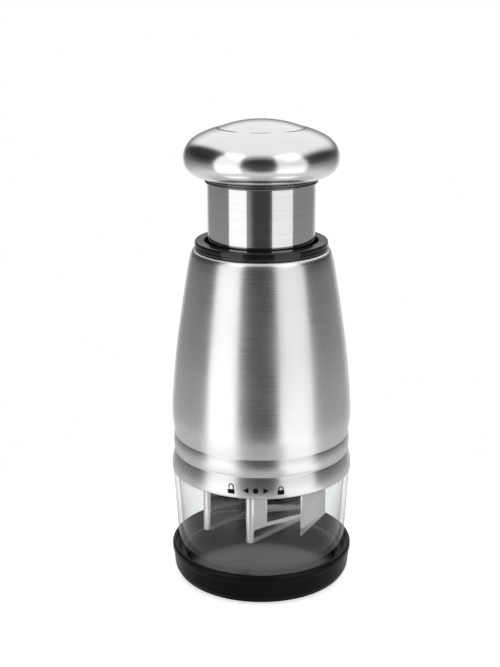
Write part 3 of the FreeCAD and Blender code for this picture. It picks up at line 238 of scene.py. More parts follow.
# %% Spin the chamber
chamber = turn_on_lathe("clear_wall", [
    (39.95, 8.1), (42.35, 8.1), (43.35, 25.0), (44.32, 41.0), (45.27, 56.77), (44.97, 57.26),
    (44.3, 57.3), (41.2, 57.3), (41.2, 62.0), (41.2, 64.4), (41.2, 68.0), (39.2, 68.0),
    (39.2, 56.3), (42.63, 52.8), (41.75, 38.3), (40.95, 24.9)],
    edge=0.3, levels=0)

# %% Pull out its three lugs
LUG_LOW, LUG_TOP, LUG_DEPTH = 62.0, 64.4, 1.7
LUG_FROM, LUG_TO, LUG_STEP = 84.0, 96.0, 120.0
INSIDE_NECK = 40.5


def on_a_lug(co, face):
    """True for the outer faces of the neck that become a lug."""
    angle = math.degrees(math.atan2(co.y, co.x)) % LUG_STEP
    high = LUG_LOW * MM < co.z < LUG_TOP * MM
    outside = math.hypot(co.x, co.y) > INSIDE_NECK * MM
    return high and LUG_FROM < angle < LUG_TO and outside


let_go()
chamber.select_set(True)
bpy.context.view_layer.objects.active = chamber
bpy.ops.object.mode_set(mode="EDIT")
lug_faces = choose(chamber, on_a_lug, "FACE")
bpy.ops.mesh.extrude_region_shrink_fatten(
    TRANSFORM_OT_shrink_fatten={"value": LUG_DEPTH * MM})
bpy.ops.object.mode_set(mode="OBJECT")
bpy.ops.object.shade_smooth_by_angle(angle=math.radians(35))
print("faces pulled out as lugs:", lug_faces)
settle(chamber, "clear_chamber", "chamber")

# %% [markdown]
# ## The steel housing
#
# The housing is one sheet pressed into a vase: a rolled band at the bottom, a narrow ring
# between two creases, and the long swelling body that draws in to the shoulder. The outside
# is drawn as one curve and a helper gives it the thickness of the sheet. The creases are
# kept tight and the swells slow, since their reflections are what makes the shape readable.

# %% Spin the housing
housing_outside = [
    (45.15, 57.62), (45.5, 57.78), (45.72, 58.2), (45.83, 59.2), (45.81, 60.4), (45.72, 62.0),
    (45.5, 63.6), (45.02, 65.6), (44.58, 67.2), (44.3, 67.95), (44.17, 68.3), (44.3, 68.65),
    (44.5, 69.3), (44.72, 70.7), (44.83, 71.8), (44.85, 72.8), (44.82, 73.8), (44.72, 74.9),
    (44.45, 76.2), (44.2, 77.0), (44.07, 77.3), (44.15, 77.65), (44.33, 78.7), (44.55, 80.4),
    (44.88, 83.2), (45.1, 85.6), (45.18, 87.8), (45.12, 90.6), (44.98, 93.5), (44.55, 99.8),
    (44.0, 106.5), (43.35, 113.5), (42.6, 120.5), (41.7, 127.5), (40.65, 134.5),
    (39.55, 141.8), (38.45, 149.0), (37.3, 156.0), (36.2, 162.5), (35.75, 165.0),
    (35.3, 167.0), (34.95, 168.4), (34.6, 169.6), (34.1, 170.6), (33.5, 171.25),
    (32.9, 171.52), (32.3, 171.6)]
housing = turn_on_lathe("steel_housing", thin_wall(housing_outside, wall=0.7), edge=0.0)
settle(housing, "housing", "housing_shell")

# %% [markdown]
# ## The collar
#
# The black collar closes the gap between the housing and the tube. It is a plain ring with a
# flat top, a rolled outer edge and an inner wall that drops out of sight, so that the tube
# comes up out of a dark slot.

# %% Spin the collar
collar = turn_on_lathe("collar", [
    (30.14, 166.3), (28.2, 166.3), (28.2, 171.4), (27.9, 171.7), (27.9, 175.6), (28.3, 176.0),
    (31.5, 176.0), (31.95, 175.92), (32.35, 175.7), (32.62, 175.35), (32.75, 174.9),
    (32.75, 173.2), (33.0, 172.9), (32.85, 171.75), (30.14, 171.7)], edge=0.12)
settle(collar, "housing", "collar_ring")

# %% [markdown]
# ## The plunger tube and its bead
#
# The tube is a polished sleeve that slides through the collar. Under the knob a rolled bead
# of two small rounds hides the joint. They are two separate pieces here too.

# %% Spin the tube and the bead
tube = turn_on_lathe("polished_tube", [
    (26.3, 148.6), (26.3, 160.0), (26.3, 176.0), (26.3, 192.0), (26.3, 206.8), (25.6, 206.9),
    (25.5, 206.7), (25.5, 176.0), (25.5, 148.6)], edge=0.12)
settle(tube, "plunger", "plunger_tube")

bead = turn_on_lathe("neck_bead", [
    (26.3, 206.5), (26.3, 204.2), (27.05, 204.2), (27.4, 204.4), (27.55, 204.75),
    (27.5, 205.1), (27.25, 205.35), (26.95, 205.5), (27.25, 205.65), (27.5, 205.95),
    (27.55, 206.25), (27.4, 206.5)], edge=0.0, levels=2, steps=64)
settle(bead, "plunger", "knob_ring")

# %% [markdown]
# ## The knob
#
# The knob is a spun steel mushroom with a separate shallow cap let into its top. The outside
# curve is drawn closely where it turns over at the widest part, because the reflection of
# the room squeezes together there. The cap is nearly flat in the middle, so its pole does
# not pinch the reflection.

# %% Spin the knob
knob_outside = [
    (27.3, 206.72), (28.4, 206.86), (29.6, 207.13), (30.8, 207.45), (31.9, 207.85),
    (33.05, 208.37), (34.1, 209.0), (35.0, 209.72), (35.8, 210.55), (36.42, 211.35),
    (36.92, 212.2), (37.3, 213.15), (37.56, 214.15), (37.73, 215.15), (37.79, 216.2),
    (37.78, 217.1), (37.66, 218.0), (37.38, 219.15), (36.95, 220.3), (36.32, 221.55),
    (35.5, 222.75), (34.55, 223.87), (33.4, 224.92), (32.2, 225.75), (30.9, 226.5),
    (29.45, 227.25), (27.9, 227.95), (26.1, 228.7), (24.2, 229.38), (22.7, 229.8),
    (21.5, 230.08), (21.1, 230.1), (20.95, 229.95)]
knob = turn_on_lathe("knob_dome", thin_wall(knob_outside, wall=0.9), edge=0.0, levels=2,
                     steps=64)
settle(knob, "plunger", "knob_shell")

# %% Spin the cap in its top
CAP_RADIUS, CAP_TOP, CAP_DROP, CAP_STEPS = 20.6, 234.1, 3.8, 12
CAP_SHEET, CAP_INSIDE = 0.8, 0.96
cap_outside = [(CAP_RADIUS * k / CAP_STEPS, CAP_TOP - CAP_DROP * (k / CAP_STEPS) ** 2.1)
               for k in range(CAP_STEPS + 1)]
cap_inside = [(radius * CAP_INSIDE, height - CAP_SHEET)
              for radius, height in cap_outside[:-1]]
cap = turn_on_lathe("knob_crown", cap_outside + [(20.7, 230.1), (20.7, 228.95),
                    (19.9, 228.95), (19.9, 229.6)] + cap_inside[::-1],
                    edge=0.1, closed=False)
settle(cap, "plunger", "knob_cap")

# %% [markdown]
# ## The zigzag blade
#
# The blade is a steel strip on edge, folded back and forth across the circle. Each fold is a
# round bend, not a crease, and the two ends run free. Its plan is worked out once from the
# bench sizes: seven turning points on a circle, with the strip passing left or right of
# each. The pen draws the middle of the strip, an extrude gives it its height, Solidify its
# thickness, and a bevel along the bottom makes the cutting edge.

# %% Where the strip turns
FOLD_CIRCLE, END_CIRCLE = 31.2, 31.3
FOLD_AXIS, FOLD_STEP = 55.0, 49.8
fold_steps = (1.5, -1.0, 0.5, 0.0, -0.5, 1.0, -1.5)
fold_sides = (0, 1, -1, 1, -1, 1, 0)
fold_spots = []
for number, steps in enumerate(fold_steps):
    flip = 180.0 if abs(steps) in (1.5, 0.5) else 0.0
    angle = math.radians(FOLD_AXIS + flip + FOLD_STEP * steps)
    reach = FOLD_CIRCLE if fold_sides[number] else END_CIRCLE
    fold_spots.append((reach * math.cos(angle), reach * math.sin(angle)))
print("turning points:", len(fold_spots))

# %% The straight panels between the bends
BEND = 1.95
PANELS = len(fold_spots) - 1


def straight_panel(first, side_a, last, side_b):
    """The panel between two bends; a side is how far it passes from the bend's middle."""
    run = (last[0] - first[0], last[1] - first[1])
    length = math.hypot(*run)
    ahead = (run[0] / length, run[1] / length)
    left = (-ahead[1], ahead[0])
    slant = (side_b - side_a) / length
    level = math.sqrt(1.0 - slant * slant)
    aim = (level * ahead[0] + slant * left[0], level * ahead[1] + slant * left[1])
    square = (-aim[1], aim[0])
    return ((first[0] + square[0] * side_a, first[1] + square[1] * side_a),
            (last[0] + square[0] * side_b, last[1] + square[1] * side_b))


panels = [straight_panel(fold_spots[k], -fold_sides[k] * BEND,
                         fold_spots[k + 1], -fold_sides[k + 1] * BEND)
          for k in range(PANELS)]
print("longest panel:", round(max(math.dist(*panel) for panel in panels), 1), "mm")

# %% Plan of the strip
HOLD, BEND_STEPS = 0.25, 16


def held_panel(start, end):
    """A straight panel with a corner just inside each end, which keeps its shading flat."""
    length = math.dist(start, end)
    ahead = ((end[0] - start[0]) / length, (end[1] - start[1]) / length)
    return [(start[0] + ahead[0] * HOLD, start[1] + ahead[1] * HOLD),
            (end[0] - ahead[0] * HOLD, end[1] - ahead[1] * HOLD)]


blade_plan = [panels[0][0]] + held_panel(*panels[0])
for k in range(PANELS - 1):
    centre, side = fold_spots[k + 1], fold_sides[k + 1]
    start = math.atan2(panels[k][1][1] - centre[1], panels[k][1][0] - centre[0])
    end = math.atan2(panels[k + 1][0][1] - centre[1], panels[k + 1][0][0] - centre[0])
    sweep = (end - start) % (2 * math.pi) if side > 0 else -((start - end) % (2 * math.pi))
    for part in range(BEND_STEPS + 1):
        angle = start + sweep * part / BEND_STEPS
        blade_plan.append((centre[0] + BEND * math.cos(angle),
                           centre[1] + BEND * math.sin(angle)))
    blade_plan += held_panel(*panels[k + 1])
blade_plan.append(panels[-1][1])
print("blade plan:", len(blade_plan), "corners, the last bend sweeps",
      round(math.degrees(sweep), 1), "degrees")

# %% Raise the strip and sharpen it
BLADE_LOW, BLADE_TOP, BLADE_THICK = 28.2, 87.0, 0.8
EDGE_BAND, EDGE_BEVEL = 0.7, 0.28
blade = draw_line("folded_blade", [(x, y, BLADE_LOW) for x, y in blade_plan], closed=False)
bpy.ops.mesh.select_all(action="SELECT")
for rise in (EDGE_BAND, BLADE_TOP - BLADE_LOW - EDGE_BAND):
    bpy.ops.mesh.extrude_region_move(TRANSFORM_OT_translate={"value": (0, 0, rise * MM)})
bpy.ops.object.mode_set(mode="OBJECT")
wall = blade.modifiers.new("thickness", "SOLIDIFY")
wall.thickness = BLADE_THICK * MM
wall.offset = 0.0
wall.use_even_offset = True
bpy.ops.object.modifier_apply(modifier=wall.name)
bpy.ops.object.mode_set(mode="EDIT")
bpy.ops.mesh.select_all(action="SELECT")
bpy.ops.mesh.normals_make_consistent(inside=False)
low_faces = choose(blade, lambda co, face: co.z < (BLADE_LOW + 0.01) * MM, "FACE")
bpy.ops.mesh.region_to_loop()
bpy.ops.mesh.bevel(offset=EDGE_BEVEL * MM, segments=2, affect="EDGES")
bpy.ops.object.mode_set(mode="OBJECT")
bpy.ops.object.shade_smooth_by_angle(angle=math.radians(28))
print("blade faces:", len(blade.data.polygons), "of which on the edge:", low_faces)
settle(blade, "blade_set", "zigzag_blade")

# %% [markdown]
# ## The return spring
#
# The spring's wire follows a line that climbs as it turns: slowly for one turn at each end,
# where the coils lie close, and seven times steeply between. The pen draws that line, and a
# curve with a round bevel gives it the thickness of the wire. The real spring shortens when
# the plunger goes down; here it is wound at one length only.

# %% The line of the wire
COIL_TURNS, COIL_STEPS = 9, 32
COIL_FOOT, COIL_TOP, COIL_RADIUS = 95.6, 144.48, 13.6
WIRE_RADIUS, WIRE_ROOM = 0.8, 0.82
SLOW_CLIMB, MORE_CLIMB = 2.05, 4.1
CLOSED_TURN, EASE_TURN = 0.65, 0.7


def steepness(turn):
    """How fast the wire climbs: 0 in the closed end turns, 1 in the open ones."""
    from_end = min(turn, COIL_TURNS - turn)
    eased = min(max((from_end - CLOSED_TURN) / EASE_TURN, 0.0), 1.0)
    return eased * eased * (3.0 - 2.0 * eased)


climb = [0.0]
for k in range(COIL_TURNS * COIL_STEPS):
    climb.append(climb[-1] + SLOW_CLIMB + MORE_CLIMB * steepness((k + 0.5) / COIL_STEPS))
wire_spots = []
for k, height in enumerate(climb):
    angle = 2.0 * math.pi * k / COIL_STEPS
    rise = (COIL_TOP - COIL_FOOT - 2.0 * WIRE_ROOM) * height / climb[-1]
    wire_spots.append((COIL_RADIUS * math.cos(angle), COIL_RADIUS * math.sin(angle),
                       COIL_FOOT + WIRE_ROOM + rise))
print("wire spots:", len(wire_spots))

# %% Wind the spring
spring = draw_line("return_coil", wire_spots, closed=False)
bpy.ops.object.mode_set(mode="OBJECT")
bpy.ops.object.convert(target="CURVE")
spring = bpy.context.object
spring.data.bevel_depth = WIRE_RADIUS * MM
spring.data.bevel_resolution = 2
spring.data.use_fill_caps = True
bpy.ops.object.convert(target="MESH")
spring = bpy.context.object
bpy.ops.object.shade_smooth_by_angle(angle=math.radians(50.0))
settle(spring, "housing", "return_spring")
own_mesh(spring)
print("return_coil:", len(spring.data.polygons), "faces")

# %% [markdown]
# ## The marks on the band
#
# Three small marks are printed on the front of the lower band: a dot with an arrow on either
# side. Beyond each arrow stands a padlock, open on the left and shut on the right, which says
# which way the housing is turned to free it from the chamber. Each mark is a flat shape, cut
# from a primitive, pushed onto the steel with a Shrinkwrap and left a hair proud of it, as
# thick ink is.

# %% Flat marks in front of the band
MARK_FRONT, MARK_HEIGHT = -60.0, 62.2
ROUND, TRIANGLE = 32, 3
HAIR = 0.02
marks = []


def keep_mark(piece, name):
    """Names a new flat shape, fixes its place in its mesh and adds it to the marks."""
    piece.name = piece.data.name = name
    bpy.ops.object.transform_apply(location=True, rotation=True, scale=True)
    marks.append(piece)
    return piece


def flat_round(name, across, height, radius, corners, turn=0.0):
    """A flat disc or triangle that faces the front; across and height in millimetres."""
    let_go()
    bpy.ops.mesh.primitive_circle_add(
        vertices=corners, radius=radius * MM, fill_type="NGON",
        location=(across * MM, MARK_FRONT * MM, height * MM), rotation=(math.pi / 2, turn, 0))
    return keep_mark(bpy.context.object, name)


flat_round("dot", -2.8, MARK_HEIGHT, 1.35, ROUND)
flat_round("arrow_left", -7.1, MARK_HEIGHT, 1.8, TRIANGLE, -math.pi / 2)
flat_round("arrow_right", 1.8, MARK_HEIGHT, 1.8, TRIANGLE, math.pi / 2)
print("flat marks:", [piece.name for piece in marks])

# %% The two padlocks
PADLOCK_DOWN = 2.2
CASE_WIDE, CASE_TALL, CASE_ROUND = 3.3, 2.3, 0.35
BOW_UP, BOW_RADIUS, BOW_THICK, BOW_LEG = 2.9, 1.3, 0.55, 0.75


def padlock_mark(name, across, lift):
    """A padlock about 4.4 mm tall; lift raises its bow out of one side."""
    let_go()
    low = MARK_HEIGHT - PADLOCK_DOWN
    bpy.ops.mesh.primitive_plane_add(
        size=1.0, rotation=(math.pi / 2, 0, 0),
        location=(across * MM, MARK_FRONT * MM, (low + CASE_TALL / 2) * MM))
    bpy.context.object.scale = (CASE_WIDE * MM, CASE_TALL * MM, 1.0)
    keep_mark(bpy.context.object, name + "_case")
    bpy.ops.object.mode_set(mode="EDIT")
    bpy.ops.mesh.select_all(action="SELECT")
    bpy.ops.mesh.bevel(offset=CASE_ROUND * MM, segments=3, affect="VERTICES")
    bpy.ops.object.mode_set(mode="OBJECT")
    bow = flat_round(name + "_bow", across, low + BOW_UP + lift, BOW_RADIUS, ROUND)
    bpy.ops.object.mode_set(mode="EDIT")
    bpy.ops.mesh.select_all(action="SELECT")
    bpy.ops.mesh.inset(thickness=BOW_THICK * MM)
    bpy.ops.mesh.delete(type="FACE")
    foot = (low + BOW_UP + lift + HAIR) * MM
    choose(bow, lambda co, item: co.z < foot - 0.1 * MM)
    bpy.ops.mesh.delete(type="VERT")
    for side in (-1, 1):
        drop = (BOW_LEG if lift and side < 0 else BOW_LEG + lift) * MM
        choose(bow, lambda co, item: co.z < foot + HAIR * MM
               and (co.x - across * MM) * side > 0)
        bpy.ops.mesh.select_mode(type="EDGE")
        bpy.ops.mesh.extrude_region_move(TRANSFORM_OT_translate={"value": (0, 0, -drop)})
    bpy.ops.object.mode_set(mode="OBJECT")
    print(name, "bow corners:", len(bow.data.vertices))


padlock_mark("open_padlock", -14.6, 0.8)
padlock_mark("shut_padlock", 9.4, 0.0)

# %% Press the marks onto the steel
INK_THICK = 0.03
let_go()
for piece in marks:
    piece.select_set(True)
bpy.context.view_layer.objects.active = marks[0]
bpy.ops.object.join()
print_marks = bpy.context.object
print_marks.name = print_marks.data.name = "band_marks"
bpy.ops.object.mode_set(mode="EDIT")
bpy.ops.mesh.select_all(action="SELECT")
bpy.ops.mesh.quads_convert_to_tris()
bpy.ops.mesh.subdivide(number_cuts=2)
bpy.ops.object.mode_set(mode="OBJECT")
press = print_marks.modifiers.new("press", "SHRINKWRAP")
press.target = housing
press.wrap_method = "PROJECT"
press.use_project_y = True
press.use_negative_direction = False
press.use_positive_direction = True
press.offset = HAIR * MM
bpy.ops.object.modifier_apply(modifier=press.name)
ink = print_marks.modifiers.new("ink", "SOLIDIFY")
ink.thickness = INK_THICK * MM
ink.offset = 0.0
bpy.ops.object.modifier_apply(modifier=ink.name)
settle(print_marks, "housing")
print("marks stand from", min(v.co.y for v in print_marks.data.vertices) / MM, "to",
      max(v.co.y for v in print_marks.data.vertices) / MM, "mm")

# %% [markdown]
# ## Finishes
#
# Every finish is a small set of nodes that reads Object coordinates, so it sits still on the
# piece in any view. Steel takes its look from three things: its colour, how rough it is, and
# the direction of its polishing lines. The lines run round the axis here, so the noise that
# makes them is stretched along the turn and squeezed in height.

# %% A blank finish to build on
def new_finish(name):
    """A new finish, its node tree and its shader."""
    finish = bpy.data.materials.new(name)
    finish.use_nodes = True
    tree = finish.node_tree
    return finish, tree, tree.nodes["Principled BSDF"]


def set_sockets(node, **sockets):
    """Sets sockets by name; an underscore stands for a space."""
    for label, value in sockets.items():
        node.inputs[label.replace("_", " ")].default_value = value


def add_node(tree, kind, **settings):
    node = tree.nodes.new(kind)
    for label, value in settings.items():
        setattr(node, label, value)
    return node


def maths(tree, kind, *values):
    """One sum; each value is a number or what comes out of another node."""
    node = add_node(tree, "ShaderNodeMath", operation=kind)
    for slot, value in enumerate(values):
        if isinstance(value, float):
            node.inputs[slot].default_value = value
        else:
            tree.links.new(value, node.inputs[slot])
    return node.outputs[0]


print("materials before the finishes:", len(bpy.data.materials))

# %% Where on the piece, and noise
def place_parts(tree):
    """X, Y and Z of the Object coordinates, and all three together."""
    place = add_node(tree, "ShaderNodeTexCoord").outputs["Object"]
    split = add_node(tree, "ShaderNodeSeparateXYZ")
    tree.links.new(place, split.inputs["Vector"])
    return *split.outputs, place


def object_space(tree, stretch=(1.0, 1.0, 1.0)):
    """Object coordinates, stretched by (x, y, z)."""
    place = add_node(tree, "ShaderNodeTexCoord")
    aim = add_node(tree, "ShaderNodeMapping")
    set_sockets(aim, Scale=stretch)
    tree.links.new(place.outputs["Object"], aim.inputs["Vector"])
    return aim.outputs["Vector"]


def noise_of(tree, vector, scale, detail=3.0):
    noise = add_node(tree, "ShaderNodeTexNoise")
    set_sockets(noise, Scale=scale, Detail=detail)
    tree.links.new(vector, noise.inputs["Vector"])
    return noise.outputs["Fac"]


# %% From a value to a level, a colour or a bump
NOISE_LOW, NOISE_HIGH = 0.3, 0.7


def spread(tree, value, low, high, start=NOISE_LOW, end=NOISE_HIGH, kind="LINEAR"):
    """A level that goes from low to high while the value goes from start to end."""
    ramp = add_node(tree, "ShaderNodeMapRange", interpolation_type=kind)
    set_sockets(ramp, From_Min=start, From_Max=end, To_Min=low, To_Max=high)
    tree.links.new(value, ramp.inputs["Value"])
    return ramp.outputs["Result"]


def two_colours(tree, value, dark, light):
    ramp = add_node(tree, "ShaderNodeValToRGB")
    for stop, position, colour in zip(ramp.color_ramp.elements, (NOISE_LOW, NOISE_HIGH),
                                      (dark, light)):
        stop.position = position
        stop.color = (*colour, 1.0)
    tree.links.new(value, ramp.inputs["Fac"])
    return ramp.outputs["Color"]


def bumps(tree, shader, value, strength, depth):
    bump = add_node(tree, "ShaderNodeBump")
    set_sockets(bump, Strength=strength, Distance=depth * MM)
    tree.links.new(value, bump.inputs["Height"])
    tree.links.new(bump.outputs["Normal"], shader.inputs["Normal"])


# %% Steel, from brushed to mirror
ROUND_THE_TURN, HANDLED = 14.0, 26.0
QUARTER_TURN = 0.25


def steel_finish(name, dark, light, rough, lines, depth, stretched=0.0):
    """Steel with polishing lines round the axis; lines are per metre of height."""
    finish, tree, shader = new_finish(name)
    along = object_space(tree, (ROUND_THE_TURN, ROUND_THE_TURN, lines))
    fine = noise_of(tree, along, 1.0, 4.0)
    handled = noise_of(tree, object_space(tree), HANDLED)
    tree.links.new(two_colours(tree, fine, dark, light), shader.inputs["Base Color"])
    roughness = maths(tree, "ADD", spread(tree, fine, *rough),
                      spread(tree, handled, -0.15 * rough[0], 0.2 * rough[0]))
    tree.links.new(roughness, shader.inputs["Roughness"])
    set_sockets(shader, Metallic=1.0, Anisotropic=stretched,
                Anisotropic_Rotation=QUARTER_TURN)
    bumps(tree, shader, fine, 0.5, depth)
    return finish


brushed = steel_finish("brushed_steel", (0.60, 0.60, 0.605), (0.63, 0.63, 0.635),
                       (0.255, 0.3), 3200.0, 0.00014, 0.5)
satin = steel_finish("satin_steel", (0.615, 0.615, 0.62), (0.645, 0.645, 0.65),
                     (0.16, 0.2), 2200.0, 0.0001, 0.3)
polished = steel_finish("polished_steel", (0.51, 0.51, 0.52), (0.56, 0.56, 0.565),
                        (0.07, 0.11), 1600.0, 0.0001, 0.2)
# The bead's steel is far darker than the other steels: painted shade for the shadow under the
# knob's rim.
bead_painted_shade = steel_finish("bead_steel_painted_shade", (0.13, 0.13, 0.133), (0.19, 0.19, 0.193),
                      (0.22, 0.32), 1800.0, 0.0002)
blade_steel = steel_finish("blade_steel", (0.72, 0.715, 0.70), (0.77, 0.765, 0.75),
                           (0.03, 0.05), 600.0, 0.00001)
wire_steel = steel_finish("spring_wire", (0.42, 0.42, 0.43), (0.55, 0.55, 0.56),
                          (0.2, 0.3), 400.0, 0.0005)
plated = steel_finish("plated_steel", (0.5, 0.5, 0.5), (0.62, 0.62, 0.61),
                      (0.18, 0.28), 500.0, 0.0005)
print("steels:", [finish.name for finish in (brushed, satin, polished, bead_painted_shade, blade_steel,
                                            wire_steel, plated)])

# %% [markdown]
# The blade is a mirror, but its lowest millimetres are ground on a wheel, and a ground
# surface scatters. So its roughness rises towards the cutting edge, with a noise that breaks
# up the line where the grinding stops.

# %% Ground edge of the blade
GROUND_LOW, GROUND_TOP, GROUND_ROUGH = 29.5 * MM, 33.0 * MM, 0.34
tree = blade_steel.node_tree
shader = tree.nodes["Principled BSDF"]
polish = shader.inputs["Roughness"].links[0].from_socket
height = place_parts(tree)[2]
ground = spread(tree, height, GROUND_ROUGH, 0.0, GROUND_LOW, GROUND_TOP)
patchy = spread(tree, noise_of(tree, object_space(tree, (1.0, 1.0, 0.2)), 300.0), 0.85, 1.15)
tree.links.new(maths(tree, "MULTIPLY_ADD", ground, patchy, polish), shader.inputs["Roughness"])
print("roughness links:", len(shader.inputs["Roughness"].links))

# %% [markdown]
# ## Black plastics, nylon and rubber
#
# A glossy black moulding is not flat black. It has a faint orange-peel ripple and a slightly
# uneven gloss. The inner mouldings are the same plastic with a matt, spark-eroded skin; the
# bush is milky nylon and the buffer soft rubber.

# %% Plastics
CLOUDS = 45.0


def plastic_finish(name, dark, light, rough, ripple, depth, shine, index=1.5):
    """A moulding; ripple is how fine its skin is, depth how deep that is in millimetres."""
    finish, tree, shader = new_finish(name)
    where = object_space(tree)
    cloud = noise_of(tree, where, CLOUDS, 4.0)
    skin = noise_of(tree, where, ripple, 2.0)
    tree.links.new(two_colours(tree, cloud, dark, light), shader.inputs["Base Color"])
    tree.links.new(spread(tree, cloud, *rough), shader.inputs["Roughness"])
    set_sockets(shader, Specular_IOR_Level=shine, IOR=index)
    bumps(tree, shader, skin, 0.4, depth)
    return finish


gloss_black = plastic_finish("gloss_black", (0.004, 0.004, 0.0045), (0.008, 0.008, 0.0085),
                             (0.14, 0.22), 260.0, 0.003, 0.2, index=1.3)
collar_black = plastic_finish("collar_black", (0.005, 0.005, 0.0055), (0.009, 0.009, 0.0095),
                              (0.06, 0.11), 260.0, 0.003, 0.5, index=1.42)
board_grey = plastic_finish("board_grey", (0.02, 0.02, 0.021), (0.03, 0.03, 0.031),
                            (0.12, 0.19), 180.0, 0.002, 0.42)
matt_black = plastic_finish("matt_black", (0.007, 0.007, 0.007), (0.013, 0.013, 0.013),
                            (0.4, 0.55), 1400.0, 0.02, 0.25)
nylon = plastic_finish("milky_nylon", (0.62, 0.61, 0.57), (0.72, 0.71, 0.67),
                       (0.35, 0.5), 700.0, 0.01, 0.4)
rubber = plastic_finish("soft_rubber", (0.02, 0.02, 0.02), (0.035, 0.034, 0.033),
                        (0.7, 0.85), 1500.0, 0.03, 0.3)
ink_black = plastic_finish("print_ink", (0.004, 0.004, 0.004), (0.01, 0.01, 0.01),
                           (0.7, 0.85), 900.0, 0.004, 0.08)
print("plastics:", [finish.name for finish in (gloss_black, collar_black, board_grey,
                                              matt_black, nylon, rubber, ink_black)])

# %% [markdown]
# ## Clear plastic
#
# A thin clear wall hardly bends what is seen through it, so it needs no refraction: it lets
# the view through and adds a reflection that grows towards the edges, as Fresnel says. Fine
# wipe marks make that reflection a little uneven. A Fresnel node takes the far side of a wall
# for the way out of solid glass and mirrors it; turning its index over there prevents that.

# %% Clear plastic
CLEAR_INDEX = 1.4


def blend_shaders(tree, amount, first, second):
    """Mixes two looks: all of the first where the amount is 0, all of the second at 1."""
    mix = add_node(tree, "ShaderNodeMixShader")
    for slot, value in enumerate((amount, first, second)):
        tree.links.new(value, mix.inputs[slot])
    return mix.outputs["Shader"]


def clear_finish(name):
    """Thin clear plastic; gives the finish and the socket of its look."""
    finish, tree, shader = new_finish(name)
    tree.nodes.remove(shader)
    through = add_node(tree, "ShaderNodeBsdfTransparent")
    wiped = noise_of(tree, object_space(tree, (6.0, 6.0, 60.0)), 9.0, 4.0)
    tint = two_colours(tree, wiped, (0.925, 0.93, 0.93), (0.94, 0.945, 0.945))
    tree.links.new(tint, through.inputs["Color"])
    gloss = add_node(tree, "ShaderNodeBsdfGlossy")
    tree.links.new(spread(tree, wiped, 0.02, 0.07), gloss.inputs["Roughness"])
    side = add_node(tree, "ShaderNodeNewGeometry")
    edge = add_node(tree, "ShaderNodeFresnel")
    tree.links.new(spread(tree, side.outputs["Backfacing"], CLEAR_INDEX, 1.0 / CLEAR_INDEX,
                          0.0, 1.0), edge.inputs["IOR"])
    return finish, blend_shaders(tree, edge.outputs["Fac"], through.outputs["BSDF"],
                                 gloss.outputs["BSDF"])


clear, wall_look = clear_finish("clear_plastic")
print("clear wall finish:", clear.name)

# %% [markdown]
# The cut edge at the foot of a clear wall looks milky and catches a thin line of light. So
# over its lowest half millimetre the chamber takes on a thin white body colour, uneven from
# the
# saw: partly the milky edge, partly a painted highlight for that line of light.

# %% Milky foot of the clear wall, partly a painted highlight
MILK_LOW, MILK_TOP, MILK_AMOUNT = 8.2 * MM, 8.7 * MM, 0.3
tree = clear.node_tree
# A white band: partly the milky cut edge, partly a painted highlight along the foot.
milk_and_highlight = add_node(tree, "ShaderNodeBsdfDiffuse")
sawn = noise_of(tree, object_space(tree), 500.0, 2.0)
tree.links.new(two_colours(tree, sawn, (0.66, 0.67, 0.67), (0.82, 0.83, 0.83)),
               milk_and_highlight.inputs["Color"])
foot = spread(tree, place_parts(tree)[2], MILK_AMOUNT, 0.0, MILK_LOW, MILK_TOP)
tree.links.new(blend_shaders(tree, foot, wall_look, milk_and_highlight.outputs["BSDF"]),
               tree.nodes["Material Output"].inputs["Surface"])
print("clear plastic nodes:", len(tree.nodes))

# %% [markdown]
# ## Which finish goes where
#
# The new pieces take one finish each. The CAD pieces that stay get theirs in the slots that
# they already have, and their shapes are not touched.

# %% Hand out the finishes
def dress(piece, finish):
    """Gives a new piece its one finish."""
    piece.data.materials.clear()
    piece.data.materials.append(finish)


for piece, finish in ((cup, gloss_black), (chamber, clear), (housing, brushed),
                      (collar, collar_black), (tube, polished), (bead, bead_painted_shade), (knob, satin),
                      (cap, satin), (blade, blade_steel), (spring, wire_steel),
                      (print_marks, ink_black)):
    dress(piece, finish)

inside_finishes = {
    "chopping_board": board_grey, "housing_liner": matt_black, "inner_frame": matt_black,
    "deck_screws": plated, "guide_pins": plated, "guide_bush": nylon, "bush_screws": plated,
    "buffer_ring": rubber, "tube_plug": matt_black, "plunger_rod": polished,
    "cross_pin": plated, "knob_core": matt_black, "knob_screw": plated,
    "blade_carrier": matt_black, "thrust_washer": plated, "blade_screw": plated,
    "wiper_disc": matt_black, "snap_ring": wire_steel, "spring_washer": plated}
for name, finish in inside_finishes.items():
    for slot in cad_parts[name].material_slots:
        slot.material = finish
print("CAD pieces dressed:", len(inside_finishes))

# %% [markdown]
# ## The room
#
# Polished steel shows the room, so the room is part of its look. Two tall soft boxes stand
# in front to the left and to the right. Behind, above a dark strip at the table's height,
# a white backdrop rises, widens upwards and curves overhead. Between them the studio is
# grey, darker towards the ceiling, with a dark gap in front where the camera is. The camera
# itself sees plain white. A direction is three numbers from -1 to 1: how far east (right),
# north (back) and up it points.

# %% The grey studio
OVERHEAD, UNDERFOOT, DROP_CURVE = 0.35, -0.5, 2.0
WALL_GREY, DARKEST = 0.9, 0.03
FRONT_GAP, FRONT_GAP_LEVEL = (-0.96, -0.78), 0.08
world = bpy.data.worlds.new("studio")
bpy.context.scene.world = world
world.use_nodes = True
sky = world.node_tree
sky.nodes.clear()
aim = add_node(sky, "ShaderNodeTexCoord")
parts = add_node(sky, "ShaderNodeSeparateXYZ")
sky.links.new(aim.outputs["Generated"], parts.inputs["Vector"])
east, north, up = parts.outputs


def fade(value, start, end, low, high, kind="SMOOTHSTEP"):
    """A level that goes gently from low to high while the value goes from start to end."""
    return spread(sky, value, low, high, start, end, kind)


def product(first, second):
    return maths(sky, "MULTIPLY", first, second)


